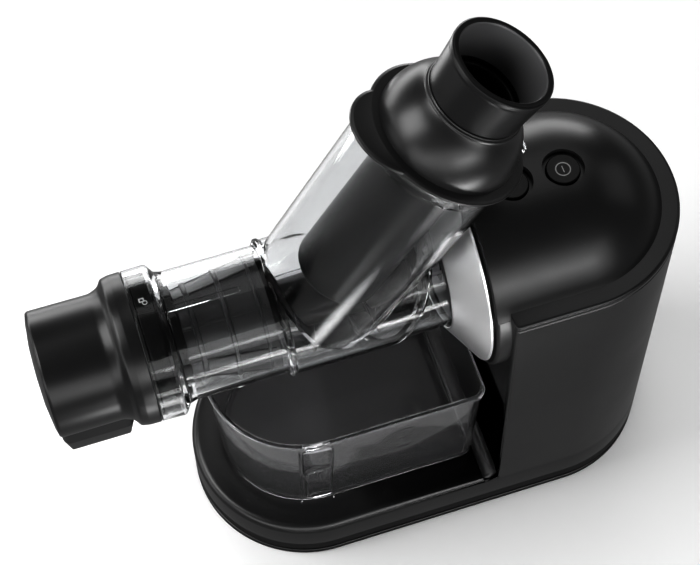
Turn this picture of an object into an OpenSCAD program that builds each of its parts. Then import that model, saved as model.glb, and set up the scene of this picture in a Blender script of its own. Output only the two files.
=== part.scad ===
// Horizontal cold press juicer: upright motor housing, clear drum with a slanted
// feed chute, auger and screen, pulp cap, and a juice container on the low base.
// Origin: middle of the footprint, on the ground. +X runs along the drum towards
// the motor, -Y is the front, +Z is up. Millimetres.

/* [Base and housing] */
// Width of the footprint
body_w = 160; // [152:1:172]
// Distance between the centres of the two round ends
end_spacing = 170; // [160:1:190]
// Height of the low base that carries the container
base_h = 45; // [36:1:52]
// Narrowing of the housing wall between its foot and its seam, per side
wall_draft = 3; // [1:0.5:4]
// Wall thickness of the black mouldings
wall = 3; // [2.4:0.1:3.6]
// Front face of the housing, from the middle of the footprint
front_x = 31; // [28:1:34]
// Height of the seam between housing and top cover
seam_z = 263; // [261:1:266]
// Thickness of the flat ledge around the top cover
ledge_h = 6; // [5:0.5:7]
// Inset of the ledge's edge from the foot of the housing
ledge_inset = 3.5; // [3:0.5:4]
// Thickness of the bottom plate
plate_t = 5; // [4:0.5:6]
// Shadow gap between bottom plate and housing
shadow_gap = 2.5; // [1.5:0.5:3]
// Height that the rubber feet stand below the bottom plate
foot_h = 2; // [1.5:0.5:3]
// Diameter of a rubber foot
foot_d = 22; // [16:1:26]

/* [Drum axis] */
// Height of the drum's axis
axis_z = 236; // [234:1:238]
// Radius of the dome and nose of the top cover
nose_r = 73; // [71:0.5:74]
// Front face of the nose
nose_x = 22; // [20:1:24]
// Radius of the bezel's wide end
bezel_r = 69; // [66:0.5:69.5]
// Radius of the bezel's narrow end
bezel_neck_r = 43.5; // [43.2:0.1:46]
// Narrow end of the bezel along X
bezel_neck_x = 3; // [0:0.5:6]

/* [Drum] */
// Outer radius of the clear drum
drum_r = 41; // [40:0.5:42]
// Wall of the clear drum and its chute
drum_wall = 3; // [2.5:0.1:3.5]
// Seam between collar and end cap
cap_seam_x = -184; // [-188:1:-180]
// Length of the collar, from that seam to its shoulder
collar_l = 18; // [15:1:21]
// Outer radius of the collar
collar_r = 48; // [47:0.5:50]
// Raised ring in front of the chute
ring_x = -100; // [-104:1:-97]
// Height of that ring over the drum
ring_rise = 3; // [2:0.5:4]
// Lower end of the juice outlet
outlet_z = 162; // [160:1:170]
// Outer diameter of the juice outlet
outlet_d = 24; // [20:1:30]
// Middle of the juice outlet along X
outlet_x = -128; // [-135:1:-118]

/* [Feed chute] */
// Tilt of the feed chute above the drum's axis, in degrees
chute_tilt = 61.4; // [60:0.2:63]
// Where the chute's axis meets the drum's axis
chute_x = -72; // [-76:1:-68]
// Outer radius of the chute at the drum
chute_foot_r = 44; // [43:0.5:45]
// Outer radius of the chute at its mouth
chute_mouth_r = 46; // [45:0.5:48]
// Length of the chute from the drum's axis to its mouth
chute_len = 167; // [160:1:175]

/* [Chute lid] */
// Radius of the lid's round flange
lid_r = 49.5; // [48.5:0.5:51]
// Thickness of the lid's flange
lid_t = 3; // [2.5:0.5:4]
// Radius of the thumb lobe
lobe_r = 31; // [28:1:34]
// Distance of the thumb lobe from the chute's axis
lobe_out = 31; // [28:1:34]
// Radius of the bell at its foot
bell_r = 43; // [42:0.5:44]
// Height of the bell
bell_h = 29; // [26:1:31]
// Radius of the neck around the pusher
neck_r = 29.5; // [29.2:0.1:30.5]

/* [Pusher] */
// Radius of the pusher's tube
pusher_r = 27.5; // [26.5:0.1:27.8]
// Radius of the pusher's rim
pusher_rim_r = 31.5; // [30.5:0.5:33]
// Height of the pusher's rim above the chute's mouth, along the chute
pusher_rise = 66; // [63:1:72]
// Distance of the pusher's foot from the drum's axis, along the chute
pusher_foot = 42; // [40:1:60]
// Wall of the pusher
pusher_wall = 2.6; // [2.2:0.1:3]
// Inner radius of the small pusher
small_bore_r = 21; // [18:0.5:22]
// Distance of the small pusher's rim below the pusher's rim
pusher_cup_depth = 28; // [24:1:40]

/* [End cap] */
// Outer radius of the end cap's barrel
cap_r = 40; // [39:0.5:41]
// Length of the end cap, without the bulge of its face
cap_l = 62; // [58:1:66]
// Length of the wide ring next to the seam
cap_ring_l = 12; // [10:1:14]
// Bulge of the cap's face
cap_bulge = 4; // [3:0.5:6]
// Lower end of the pulp outlet
pulp_z = 174; // [168:1:180]
// Width of the pulp outlet across the drum
pulp_w = 52; // [44:1:56]
// Length of the pulp outlet along the drum
pulp_l = 39; // [34:1:42]

/* [Auger and screen] */
// Radius of the auger over its flights
auger_r = 33; // [30:0.5:34]
// Pitch of the auger's flights
auger_pitch = 42; // [36:1:50]
// Across flats of the drive hexagon
hex_af = 12; // [10:0.5:12]
// Radius of the screen at the chute end
screen_r1 = 36.6; // [36:0.1:37]
// Radius of the screen at the cap end
screen_r2 = 27; // [26:0.5:30]
// Wall of the screen
screen_wall = 1.6; // [1.4:0.1:2]

/* [Juice container] */
// Half width of the container at its rim
box_r = 64; // [60:1:66]
// Height of the container's rim above the ground
box_rim_z = 157; // [150:1:158]
// Narrowing of the container's wall from rim to foot
box_draft = 6.5; // [4:0.5:8]
// Wall of the container
box_wall = 2.2; // [2:0.1:2.8]
// Squared end of the container along X
box_end_x = 23; // [18:1:25]

/* [Controls] */
// Diameter of each push button
button_d = 21; // [18:1:24]
// Distance of the start button from the middle of the footprint
start_x = 86; // [80:1:92]
// Distance of the release button from the middle of the footprint
release_x = 53; // [50:1:58]
// Travel of the push buttons
button_travel = 3; // [2:0.5:4]

/* [Drive] */
// Module of the first gear pair
module_1 = 1.5; // [1.25:0.05:1.6]
// Module of the second gear pair
module_2 = 1.75; // [1.6:0.05:1.8]
// Teeth of both pinions
pinion_teeth = 14; // [14:1:15]
// Teeth of both wheels
wheel_teeth = 56; // [54:1:58]
// Room between the motor's stator and the inner wall of the housing
stator_room = 33; // [30:1:36]
// Length of the stator's stack
stator_l = 36; // [30:1:40]
// Diameter of the output shaft
shaft_d = 14; // [12:0.5:16]
// Diameter of the rotor shaft and of the idler shaft
pin_d = 8; // [7:0.5:9]

/* [Fits] */
// Gap between parts that slide or turn on each other
run_gap = 0.3; // [0.2:0.05:0.5]
// Radial clearance in a bearing bore
bore_gap = 0.05; // [0.03:0.01:0.1]
// Gap between parts that are only set side by side
seat_gap = 0.2; // [0.1:0.05:0.3]

/* [Hidden] */
$fn = 96;
eps = 0.01;
screw_d = 4;
screw_head_d = 7.5;

end_r = body_w / 2;
half_d = end_spacing / 2;
plate_top = foot_h + plate_t;
shell_z = plate_top + shadow_gap;
seam_r = end_r - wall_draft;
ledge_r = end_r - ledge_inset;
ledge_z = seam_z + ledge_h;
inner_r = seam_r - wall;
stator_r = inner_r - stator_room;
collar_x = cap_seam_x + collar_l;
cap_x = cap_seam_x - cap_l;
pusher_top = chute_len + pusher_rise;
auger_clear = 1.5;
dome_r = nose_r - wall;
edge_round = 3.5;
ledge_edge = 2.4;
crown_z = axis_z + nose_r;
thread_d = screw_d + 0.04;

case_x = front_x + wall + seat_gap;
plate_x = nose_x + 2;
case_t = 4;
wheel_w = 9;
gear_gap = 2.5;
wheel_2_x = case_x + case_t + gear_gap;
wheel_1_x = wheel_2_x + wheel_w + gear_gap;
case_back_x = wheel_1_x + wheel_w + gear_gap;
r_wheel_1 = module_1 * wheel_teeth / 2;
r_wheel_2 = module_2 * wheel_teeth / 2;
centre_1 = module_1 * (pinion_teeth + wheel_teeth) / 2;
centre_2 = module_2 * (pinion_teeth + wheel_teeth) / 2;
idler_z = axis_z - centre_2;
motor_z = idler_z - centre_1;
motor_x = case_back_x + case_t + 18;
shelf_z = idler_z - r_wheel_1 - 12;
spigot_x = nose_x + 1;
spigot_r = drum_r - drum_wall - 0.4;
disc_r = 60;
board_z = crown_z - 28;
case_wall = 3;
case_r = r_wheel_2 + module_2 + case_wall + 2;
idler_case_r = r_wheel_1 + module_1 + case_wall + 2;

chute_offset = 2;
bell_foot = chute_len + lid_t;
bell_top = bell_foot + bell_h;
pressure = 25;
backlash = 0.25;

// ---------- helpers ----------

// Places children on the drum's axis with their own Z along +X.
module on_axis(x, z = axis_z) {
    translate([x, 0, z]) rotate([0, 90, 0]) children();
}

// Places children on the chute's axis, own Z along the chute, own X towards the motor.
module on_chute(s = 0) {
    translate([chute_x, 0, axis_z]) rotate([0, 90 - chute_tilt, 0]) translate([0, 0, s]) children();
}

// Sweeps a profile, drawn at its distance from the spine, around the stadium outline.
module stadium_sweep(d1 = half_d, d2 = half_d) {
    translate([-d1, 0, 0]) rotate_extrude() children();
    translate([d2, 0, 0]) rotate_extrude() children();
    translate([-d1, 0, 0]) rotate([90, 0, 90]) linear_extrude(d1 + d2) {
        children();
        mirror([1, 0]) children();
    }
}

// Profile of a slab from the spine to r, with its upper edge rounded.
module slab_profile(r, z0, z1, round_top = 0) {
    if (round_top > 0) {
        translate([0, z0]) square([r, z1 - z0 - round_top]);
        translate([0, z0]) square([r - round_top, z1 - z0]);
        translate([r - round_top, z1 - round_top]) circle(round_top);
    } else {
        translate([0, z0]) square([r, z1 - z0]);
    }
}

// Slab whose wall leans from r0 at z0 to r1 at z1.
module leaning_profile(r0, r1, z0, z1) {
    polygon([[0, z0], [r0, z0], [r1, z1], [0, z1]]);
}

// Everything behind a plane across X.
module behind(x) {
    intersection() {
        children();
        translate([x, -end_r - 5, -5]) cube([body_w + end_spacing, body_w + 10, 400]);
    }
}

// Tube along its own Z.
module tube(ro, ri, h) {
    difference() {
        cylinder(r = ro, h = h);
        translate([0, 0, -1]) cylinder(r = ri, h = h + 2);
    }
}

// Involute gear outline.
function inv_deg(a) = tan(a) * 180 / PI - a;
function flank_angle(r, rb, half) = half + inv_deg(pressure) - (r > rb ? inv_deg(acos(rb / r)) : 0);
function polar(r, a) = [r * cos(a), r * sin(a)];
module gear_outline(m, teeth, turn = 0) {
    rp = m * teeth / 2;
    rb = rp * cos(pressure);
    ra = rp + m;
    rr = rp - 1.25 * m;
    half = 90 / teeth - backlash / rp * 90 / PI;
    radii = [rr, max(rb, rr + 0.1), rp, (rp + ra) / 2, ra];
    polygon([for (i = [0 : teeth - 1]) each concat(
        [for (k = [0 : 4]) polar(radii[k], turn + i * 360 / teeth - flank_angle(radii[k], rb, half))],
        [for (k = [4 : -1 : 0]) polar(radii[k], turn + i * 360 / teeth + flank_angle(radii[k], rb, half))]
    )]);
}

// Countersunk-free pan screw along its own Z, head at the bottom.
module screw(l, d = screw_d, head = screw_head_d, head_h = 2.6) {
    difference() {
        union() {
            translate([0, 0, -head_h]) cylinder(d = head, h = head_h);
            cylinder(d = d, h = l);
        }
        translate([0, 0, -head_h - 1]) cylinder(d = head * 0.45, h = head_h, $fn = 6);
    }
}

// ---------- base and housing ----------

foot_places = concat([[0, 0]], [for (sx = [-1, 1]) for (sy = [-1, 1]) [sx * (half_d + 15), sy * (end_r - 38)]]);
boss_d = 10;
boss_y = end_r - wall - boss_d / 2 + 1;
plate_screw_places = [for (sx = [-1, 0, 1]) for (sy = [-1, 1]) [sx * half_d * 0.9, sy * boss_y]];

module bottom_plate() {
    color([0.10, 0.10, 0.10]) difference() {
        stadium_sweep() slab_profile(end_r, foot_h, plate_top, 1.2);
        for (p = foot_places) translate([p[0], p[1], 0]) cylinder(d = foot_d, h = foot_h + 2);
        for (p = plate_screw_places) translate([p[0], p[1], -1]) {
            cylinder(d = screw_d + 2 * run_gap, h = 20);
            cylinder(d = screw_head_d + 1, h = foot_h + 1 + 3);
        }
        for (i = [-3 : 3]) translate([half_d - 8, i * 7 - 1.2, 0]) cube([40, 2.4, 20]);
    }
}

module rubber_feet() {
    color([0.16, 0.16, 0.16]) for (p = foot_places) translate([p[0], p[1], 0])
        cylinder(d = foot_d - 2 * seat_gap, h = foot_h + 2 - seat_gap);
}

module plate_screws() {
    color([0.55, 0.55, 0.57]) for (p = plate_screw_places)
        translate([p[0], p[1], foot_h + 3]) screw(14, head_h = 2.2);
}

// Holes for the plate screws and the boss round each.
module plate_bosses() {
    for (p = plate_screw_places) translate([p[0], p[1], plate_top]) cylinder(d = boss_d, h = base_h - plate_top - 1);
}

module housing_outer(shrink = 0, z0 = 0, z1 = 0) {
    behind(front_x + shrink) stadium_sweep()
        leaning_profile(end_r - shrink, seam_r - shrink, z0, z1);
}

module base_outer() {
    stadium_sweep() slab_profile(end_r, shell_z, base_h, edge_round);
}

// Collar that closes the shadow gap from inside.
module gap_collar() {
    stadium_sweep() polygon([[end_r - 2 * wall, plate_top], [end_r - wall - 0.5, plate_top],
        [end_r - wall - 0.5, shell_z], [end_r - wall + 0.5, shell_z], [end_r - wall + 0.5, shell_z + 6],
        [end_r - 2 * wall, shell_z + 6]]);
}

module body_shell() {
    color([0.09, 0.09, 0.09]) difference() {
        union() {
            difference() {
                union() {
                    base_outer();
                    housing_outer(0, shell_z, seam_z - seat_gap);
                }
                stadium_sweep() slab_profile(end_r - wall, shell_z - 1, base_h - wall);
                housing_outer(wall, shell_z - 1, seam_z + 1);
            }
            gap_collar();
            plate_bosses();
            on_axis(nose_x) intersection() {
                tube(nose_r, dome_r, front_x - nose_x + wall);
                translate([axis_z - seam_z + seat_gap, -nose_r - 1, -1]) cube([2 * nose_r, 2 * nose_r + 2, 60]);
            }
            case_ledges();
            motor_ledges();
        }
        on_axis(front_x - 1) cylinder(r = dome_r, h = wall + 2);
        for (p = plate_screw_places) translate([p[0], p[1], plate_top - 1]) cylinder(d = thread_d, h = 16);
        translate([gland_x - 10, 0, gland_z]) rotate([0, 90, 0]) cylinder(d = gland_d, h = 30);
        for (i = [-5 : 5]) translate([half_d + 5, i * 6, motor_z + 12])
            rotate([0, 90, 0]) linear_extrude(end_r) square([34, 2.4], center = true);
        for (p = cover_screw_places) translate([p[0], p[1], seam_z - 17]) cylinder(d = thread_d, h = 20);
        for (p = chassis_places) translate([p[0], p[1], p[2] - 5]) cylinder(d = thread_d, h = 7);
    }
}

gland_z = 60;
gland_d = 14;
gland_x = half_d + end_r - wall_draft * (gland_z - shell_z) / (seam_z - shell_z) - wall;
cover_screw_places = [for (sy = [-1, 1]) for (x = [front_x + 14, half_d]) [x, sy * (inner_r - boss_d / 2 + 1)]];
chassis_places = concat([for (sy = [-1, 1]) [motor_x + 6, sy * (inner_r - 12), motor_z]],
    [for (sy = [-1, 1]) [case_x + 14, sy * (inner_r - 20), shelf_z]]);

// Shelves inside the housing that carry the gear case and the motor bracket.
module case_ledges() {
    for (sy = [-1, 1]) translate([front_x + wall - 1, sy > 0 ? inner_r - 32 : -inner_r - 1, shelf_z - 6])
        cube([case_back_x + case_t - front_x - wall + 1, 33, 6 - seat_gap]);
    for (p = cover_screw_places) translate([p[0], p[1], seam_z - 16]) cylinder(d = boss_d, h = 16 - seat_gap);
}

module motor_ledges() {
    for (sy = [-1, 1]) translate([motor_x, sy > 0 ? stator_r + 7 : -inner_r - 1.5, motor_z - 5])
        cube([10.8, inner_r - stator_r - 5.5, 5 - seat_gap]);
}

// ---------- top cover ----------

module dome_solid(r) {
    on_axis(nose_x) cylinder(r = r, h = half_d - nose_x);
    translate([half_d, 0, axis_z]) sphere(r = r);
}

module top_cover() {
    color([0.10, 0.10, 0.10]) difference() {
        union() {
            difference() {
                union() {
                    behind(front_x) stadium_sweep() slab_profile(ledge_r, seam_z, ledge_z, ledge_edge);
                    intersection() {
                        dome_solid(nose_r);
                        translate([nose_x, -end_r, seam_z]) cube([2 * end_spacing, body_w, 2 * nose_r]);
                    }
                }
                intersection() {
                    dome_solid(dome_r);
                    translate([0, -end_r, seam_z - 1]) cube([2 * end_spacing, body_w, 2 * nose_r]);
                }
            }
            intersection() {
                dome_solid(nose_r - 1);
                union() {
                    for (x = [start_x, release_x]) translate([x, 0, button_top - guide_h])
                        cylinder(d = button_d + 8, h = guide_h);
                    for (p = board_pin_places) translate([p[0], p[1], board_z + board_t]) cylinder(d = 6, h = 40);
                }
            }
            for (p = board_pin_places) translate([p[0], p[1], board_z - 1.5]) cylinder(d = 3, h = 4);
        }
        for (x = [start_x, release_x]) button_well(x);
        for (p = cover_screw_places) translate([p[0], p[1], seam_z - 1]) cylinder(d = thread_d, h = 5.5);
    }
}

button_top = crown_z - 2.5;
guide_h = 11;
board_t = 1.6;
switch_h = 3;
release_seat_z = axis_z + case_r + 1.25;
board_pin_places = [for (x = [start_x - 10, start_x + 10]) for (sy = [-13, 13]) [x, sy]];
module button_well(x) {
    translate([x, 0, button_top - 1.5]) cylinder(d = button_d + 5, h = 20);
    translate([x, 0, button_top - 30]) cylinder(d = button_d + 2 * run_gap, h = 60);
}

module cover_screws() {
    color([0.55, 0.55, 0.57]) for (p = cover_screw_places)
        translate([p[0], p[1], seam_z - 16]) screw(19);
}

// Button with a hollow underside and a stem that ends just above its seat.
module push_button(x, seat_z) {
    stem_z = seat_z + button_travel + 0.5;
    translate([x, 0, button_top - 7]) difference() {
        union() {
            cylinder(d = button_d, h = 6);
            cylinder(d = button_d - 1, h = 7);
        }
        translate([0, 0, -1]) cylinder(d = button_d - 4, h = 4);
    }
    translate([x, 0, stem_z]) cylinder(d = 5, h = button_top - 3.5 - stem_z);
}
switch_top = board_z + board_t + switch_h;

module start_button() { color([0.12, 0.12, 0.12]) push_button(start_x, switch_top); }
module release_button() { color([0.12, 0.12, 0.12]) push_button(release_x, release_seat_z); }

// Coil spring between a seat and the underside of a button.
module coil_spring(x, seat_z) {
    spring_l = button_top - 4 - 2 * eps - seat_z;
    color([0.7, 0.7, 0.72]) translate([x, 0, seat_z + eps]) union() {
        linear_extrude(spring_l, twist = -360 * 4, slices = 48, $fn = 8) translate([3.7, 0]) circle(0.7);
        tube(4.4, 3, 0.8);
        translate([0, 0, spring_l - 0.8]) tube(4.4, 3, 0.8);
    }
}
module start_spring() { coil_spring(start_x, switch_top); }
module release_spring() { coil_spring(release_x, release_seat_z); }

module control_board() {
    color([0.10, 0.28, 0.16]) difference() {
        union() {
            translate([start_x - 14, -17, board_z]) cube([28, 34, board_t]);
            translate([start_x, 0, board_z + board_t - eps]) {
                translate([-5, -5, 0]) cube([10, 10, 2]);
                cylinder(d = 10, h = switch_h + eps);
            }
            translate([start_x + 7, -5, board_z + board_t - eps]) cube([5, 10, 6]);
        }
        for (p = board_pin_places) translate([p[0], p[1], board_z - 1]) cylinder(d = 3.1, h = 4);
    }
}

module cord_gland() {
    color([0.12, 0.12, 0.12]) translate([gland_x - 3.8, 0, gland_z]) rotate([0, 90, 0]) difference() {
        union() {
            cylinder(d = gland_d - 2 * seat_gap, h = wall + 6.5);
            cylinder(d = gland_d + 5, h = 3);
            translate([0, 0, wall + 4.4]) cylinder(d = gland_d + 3, h = 2.1);
        }
        translate([0, 0, -1]) cylinder(d = 7.5, h = 20);
    }
}

// ---------- bezel ----------

module bezel_ring() {
    rim_x = nose_x - 1.5;
    color([0.72, 0.72, 0.73]) on_axis(0) rotate_extrude() polygon([
        [bezel_neck_r, bezel_neck_x], [bezel_r - 1, rim_x - 3.5], [bezel_r, rim_x - 2.2], [bezel_r, rim_x],
        [bezel_r - 2.2, rim_x], [bezel_r - 3, rim_x - 2], [bezel_neck_r, bezel_neck_x + 2.8],
        [bezel_neck_r - 1.2, bezel_neck_x + 2.8], [bezel_neck_r - 1.2, bezel_neck_x]]);
}

// Black plate in the nose that carries the bezel.
module nose_plate() {
    color([0.05, 0.05, 0.05]) on_axis(0) rotate_extrude() polygon([
        [spigot_r + run_gap + drum_wall + 1.2, nose_x - 1.3], [bezel_r - 2, nose_x - 1.3],
        [bezel_r - 2, plate_x], [dome_r - 0.4, plate_x], [dome_r - 0.4, plate_x + 3.8],
        [spigot_r + seat_gap, plate_x + 3.8], [spigot_r + seat_gap, plate_x],
        [spigot_r + run_gap + drum_wall + 1.2, plate_x]]);
}

// ---------- drive ----------

module case_outline(grow = 0) {
    translate([-axis_z, 0]) circle(case_r + grow);
    translate([-idler_z, 0]) circle(idler_case_r + grow);
    translate([-motor_z, 0]) circle(module_1 * pinion_teeth / 2 + 14 + grow);
}

case_screw_places = concat([for (a = [40, 90, 270, 320])
    [axis_z + (case_r + 1.5) * cos(a), (case_r + 1.5) * sin(a)]],
    [for (sy = [-1, 1]) [idler_z, sy * (idler_case_r + 1)]]);

module case_cut(x, h) {
    translate([x, 0, 0]) rotate([0, 90, 0]) linear_extrude(h) case_outline(-case_wall);
}

module gear_case() {
    lug_y = inner_r - 10;
    color([0.45, 0.46, 0.48]) difference() {
        union() {
            translate([case_x, 0, 0]) rotate([0, 90, 0]) linear_extrude(case_back_x - case_x) case_outline();
            on_axis(bezel_neck_x + 3.5) cylinder(r = spigot_r, h = case_x - bezel_neck_x - 3);
            on_axis(plate_x + 4) cylinder(r = disc_r, h = case_x - plate_x - 3.5);
            for (p = case_screw_places) translate([case_x, p[1], p[0]]) rotate([0, 90, 0])
                cylinder(d = 9, h = case_back_x - case_x);
            translate([release_x, 0, release_seat_z - 8]) cylinder(d = 12, h = 8);
            for (sy = [-1, 1]) translate([case_x + 4, sy > 0 ? 15 : -lug_y, shelf_z])
                cube([20, lug_y - 15, 5]);
        }
        case_cut(case_x + case_t, case_back_x);
        on_axis(0) cylinder(d = shaft_d + 2.5, h = 60);
        on_axis(case_x - 10) cylinder(d = bearing_d, h = 60);
        on_axis(bezel_neck_x + 3) cylinder(d = seal_d, h = 7);
        on_axis(seal_x) tube(spigot_r + 2, spigot_r - 1.2, 4);
        on_axis(case_x + case_t - 3, idler_z) cylinder(d = bush_d, h = 20);
        for (p = case_screw_places) translate([case_back_x - 14, p[1], p[0]]) rotate([0, 90, 0])
            cylinder(d = thread_d, h = 20);
        for (p = chassis_places) translate([p[0], p[1], p[2] - 1]) cylinder(d = screw_d + 0.6, h = 10);
    }
}
seal_x = bezel_neck_x + 8;
bearing_d = 30;
bearing_w = 10;
seal_d = 26;
bush_d = 14;

module gear_case_cover() {
    color([0.42, 0.43, 0.45]) difference() {
        union() {
            translate([case_back_x + seat_gap, 0, 0]) rotate([0, 90, 0]) linear_extrude(case_t) case_outline();
            on_axis(case_back_x - 1.5) cylinder(d = bearing_d + 8, h = case_t + 1.5);
            on_axis(case_back_x - 1.5, idler_z) cylinder(d = bush_d + 6, h = case_t + 1.5);
            for (p = case_screw_places) translate([case_back_x + seat_gap, p[1], p[0]]) rotate([0, 90, 0])
                cylinder(d = 9, h = case_t);
            on_axis(case_back_x + seat_gap, motor_z) cylinder(d = 24, h = case_t + 6);
        }
        on_axis(case_back_x - 2) cylinder(d = bearing_2_d, h = 20);
        on_axis(case_back_x - 2, idler_z) cylinder(d = bush_d, h = 20);
        on_axis(case_back_x - 2, motor_z) cylinder(d = pin_d + 2 * bore_gap, h = 20);
        for (p = case_screw_places) translate([case_back_x - 2, p[1], p[0]]) rotate([0, 90, 0])
            cylinder(d = screw_d + 2 * run_gap, h = 20);
    }
}
bearing_2_d = 26;

module case_screws() {
    color([0.55, 0.55, 0.57]) for (p = case_screw_places)
        translate([case_back_x + case_t + seat_gap, p[1], p[0]]) rotate([0, -90, 0]) screw(14, screw_d - 2 * eps);
}

module shaft_bearings() {
    color([0.6, 0.6, 0.62]) {
        on_axis(case_x - 9.9) tube(bearing_d / 2 - eps, shaft_d / 2 + bore_gap, bearing_w);
        on_axis(case_back_x - 1.5) tube(bearing_2_d / 2 - eps, shaft_d / 2 + bore_gap, 5.5);
    }
}

module idler_bushes() {
    color([0.75, 0.58, 0.30]) {
        on_axis(case_x + 1 + eps, idler_z) tube(bush_d / 2 - eps, pin_d / 2 + bore_gap, 4.5);
        on_axis(case_back_x - 1.5, idler_z) tube(bush_d / 2 - eps, pin_d / 2 + bore_gap, 6.5);
    }
}

module shaft_seal() {
    color([0.2, 0.2, 0.2]) on_axis(bezel_neck_x + 4) tube(seal_d / 2 - eps, shaft_d / 2 + bore_gap, 5.5);
}

module idler_shaft() {
    color([0.62, 0.62, 0.64]) on_axis(case_x + 1.5, idler_z) cylinder(d = pin_d, h = case_back_x + 4 - case_x - 1.5);
}

module idler_wheel() {
    color([0.82, 0.80, 0.72]) on_axis(wheel_1_x, idler_z) difference() {
        linear_extrude(wheel_w) gear_outline(module_1, wheel_teeth, 180 / wheel_teeth);
        translate([0, 0, -1]) cylinder(d = pin_d + 2 * eps, h = wheel_w + 2);
    }
}

module idler_pinion() {
    color([0.62, 0.62, 0.64]) on_axis(wheel_2_x - 0.5, idler_z) difference() {
        linear_extrude(wheel_w + gear_gap + 0.5 - eps) gear_outline(module_2, pinion_teeth, 180 + 180 / pinion_teeth);
        translate([0, 0, -1]) cylinder(d = pin_d + 2 * eps, h = wheel_w + 12);
    }
}

module output_wheel() {
    color([0.82, 0.80, 0.72]) on_axis(wheel_2_x, axis_z) difference() {
        linear_extrude(wheel_w) gear_outline(module_2, wheel_teeth, 0);
        translate([0, 0, -1]) cylinder(d = shaft_d + 2 * eps, h = wheel_w + 2);
    }
}

hex_x = -52;
module drive_shaft() {
    color([0.66, 0.66, 0.68]) {
        on_axis(bezel_neck_x + 3) cylinder(d = shaft_d, h = case_back_x + 5 - bezel_neck_x - 3);
        on_axis(hex_x) cylinder(r = hex_af / sqrt(3), h = bezel_neck_x + 3 - hex_x, $fn = 6);
    }
}

module rotor_shaft() {
    color([0.62, 0.62, 0.64]) on_axis(wheel_1_x - 1, motor_z) {
        cylinder(d = pin_d, h = motor_x + stator_l + 22 - wheel_1_x);
        linear_extrude(wheel_w + 1) gear_outline(module_1, pinion_teeth, 0);
    }
}

module rotor_core() {
    color([0.40, 0.38, 0.36]) on_axis(motor_x + 2, motor_z) difference() {
        cylinder(r = stator_r * 0.52, h = stator_l - 4);
        translate([0, 0, -1]) cylinder(d = pin_d + 2 * eps, h = stator_l);
    }
}

module motor_stator() {
    color([0.35, 0.36, 0.38]) on_axis(motor_x, motor_z) tube(stator_r, stator_r * 0.52 + 0.8, stator_l);
}

module motor_coils() {
    color([0.72, 0.42, 0.22]) for (x = [motor_x - 8, motor_x + stator_l])
        on_axis(x + (x < motor_x ? 0 : seat_gap), motor_z) tube(stator_r * 0.86, stator_r * 0.56, 8 - seat_gap);
}

module cooling_fan() {
    fan_r = stator_r * 0.56;
    color([0.85, 0.85, 0.82]) on_axis(motor_x + stator_l + 15, motor_z) difference() {
        union() {
            cylinder(d = 18, h = 5);
            cylinder(r = fan_r, h = 1.2);
            for (a = [0 : 45 : 315]) rotate([0, 0, a]) translate([8, -0.8, 0]) cube([fan_r - 9, 1.6, 4.5]);
        }
        translate([0, 0, -1]) cylinder(d = pin_d + 2 * eps, h = 12);
    }
}

ear_t = 5;
module motor_bracket() {
    plate_z = case_back_x + case_t + seat_gap;
    color([0.50, 0.51, 0.53]) difference() {
        union() {
            on_axis(motor_x + 1, motor_z) tube(stator_r + 3, stator_r + seat_gap, 10);
            for (sy = [-1, 1]) translate([motor_x + 1, sy > 0 ? stator_r + 1 : -inner_r + 4, motor_z])
                cube([10, inner_r - stator_r - 5, ear_t]);
            for (a = [35, 145, 215, 325]) on_axis(plate_z, motor_z)
                rotate([0, 0, a]) translate([stator_r + 3.2, 0, 0]) cylinder(d = 6, h = motor_x + 4 - plate_z);
            on_axis(plate_z, motor_z) tube(stator_r + 4, 15, 3);
        }
        for (p = chassis_places) translate([p[0], p[1], p[2] - 1]) cylinder(d = screw_d + 0.6, h = 10);
        on_axis(plate_z - 1, idler_z) cylinder(d = bush_d + 2, h = 5);
    }
}

// Rear bar that carries the end of the rotor's shaft.
module motor_bridge() {
    bar_x = motor_x + stator_l + 10;
    color([0.50, 0.51, 0.53]) difference() {
        union() {
            translate([bar_x, -stator_r - 9, motor_z - 7]) cube([3, 2 * stator_r + 18, 14]);
            on_axis(bar_x, motor_z) cylinder(d = 18, h = 4.5);
            for (sy = [-1, 1]) translate([motor_x + 11, sy * (stator_r + 4.2), motor_z])
                rotate([0, 90, 0]) cylinder(d = 7, h = bar_x - motor_x - 10);
        }
        on_axis(bar_x - 1, motor_z) cylinder(d = pin_d + 2 * bore_gap, h = 8);
    }
}

module chassis_screws() {
    color([0.55, 0.55, 0.57]) for (p = chassis_places)
        translate([p[0], p[1], p[2] + ear_t]) rotate([180, 0, 0]) screw(9.5);
}

// ---------- drum and chute ----------

// Room for the chute above the drum's axis.
module above_axis() {
    translate([chute_x - chute_len, -chute_len, axis_z]) cube([2 * chute_len, 2 * chute_len, 2 * chute_len]);
}

// Everything on the cap side of the chute's motor-side wall.
module before_chute_wall() {
    on_chute(-chute_len) translate([chute_foot_r - chute_offset - 2 * chute_len, -chute_len, 0])
        cube([2 * chute_len, 2 * chute_len, 2 * chute_len]);
}

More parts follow.
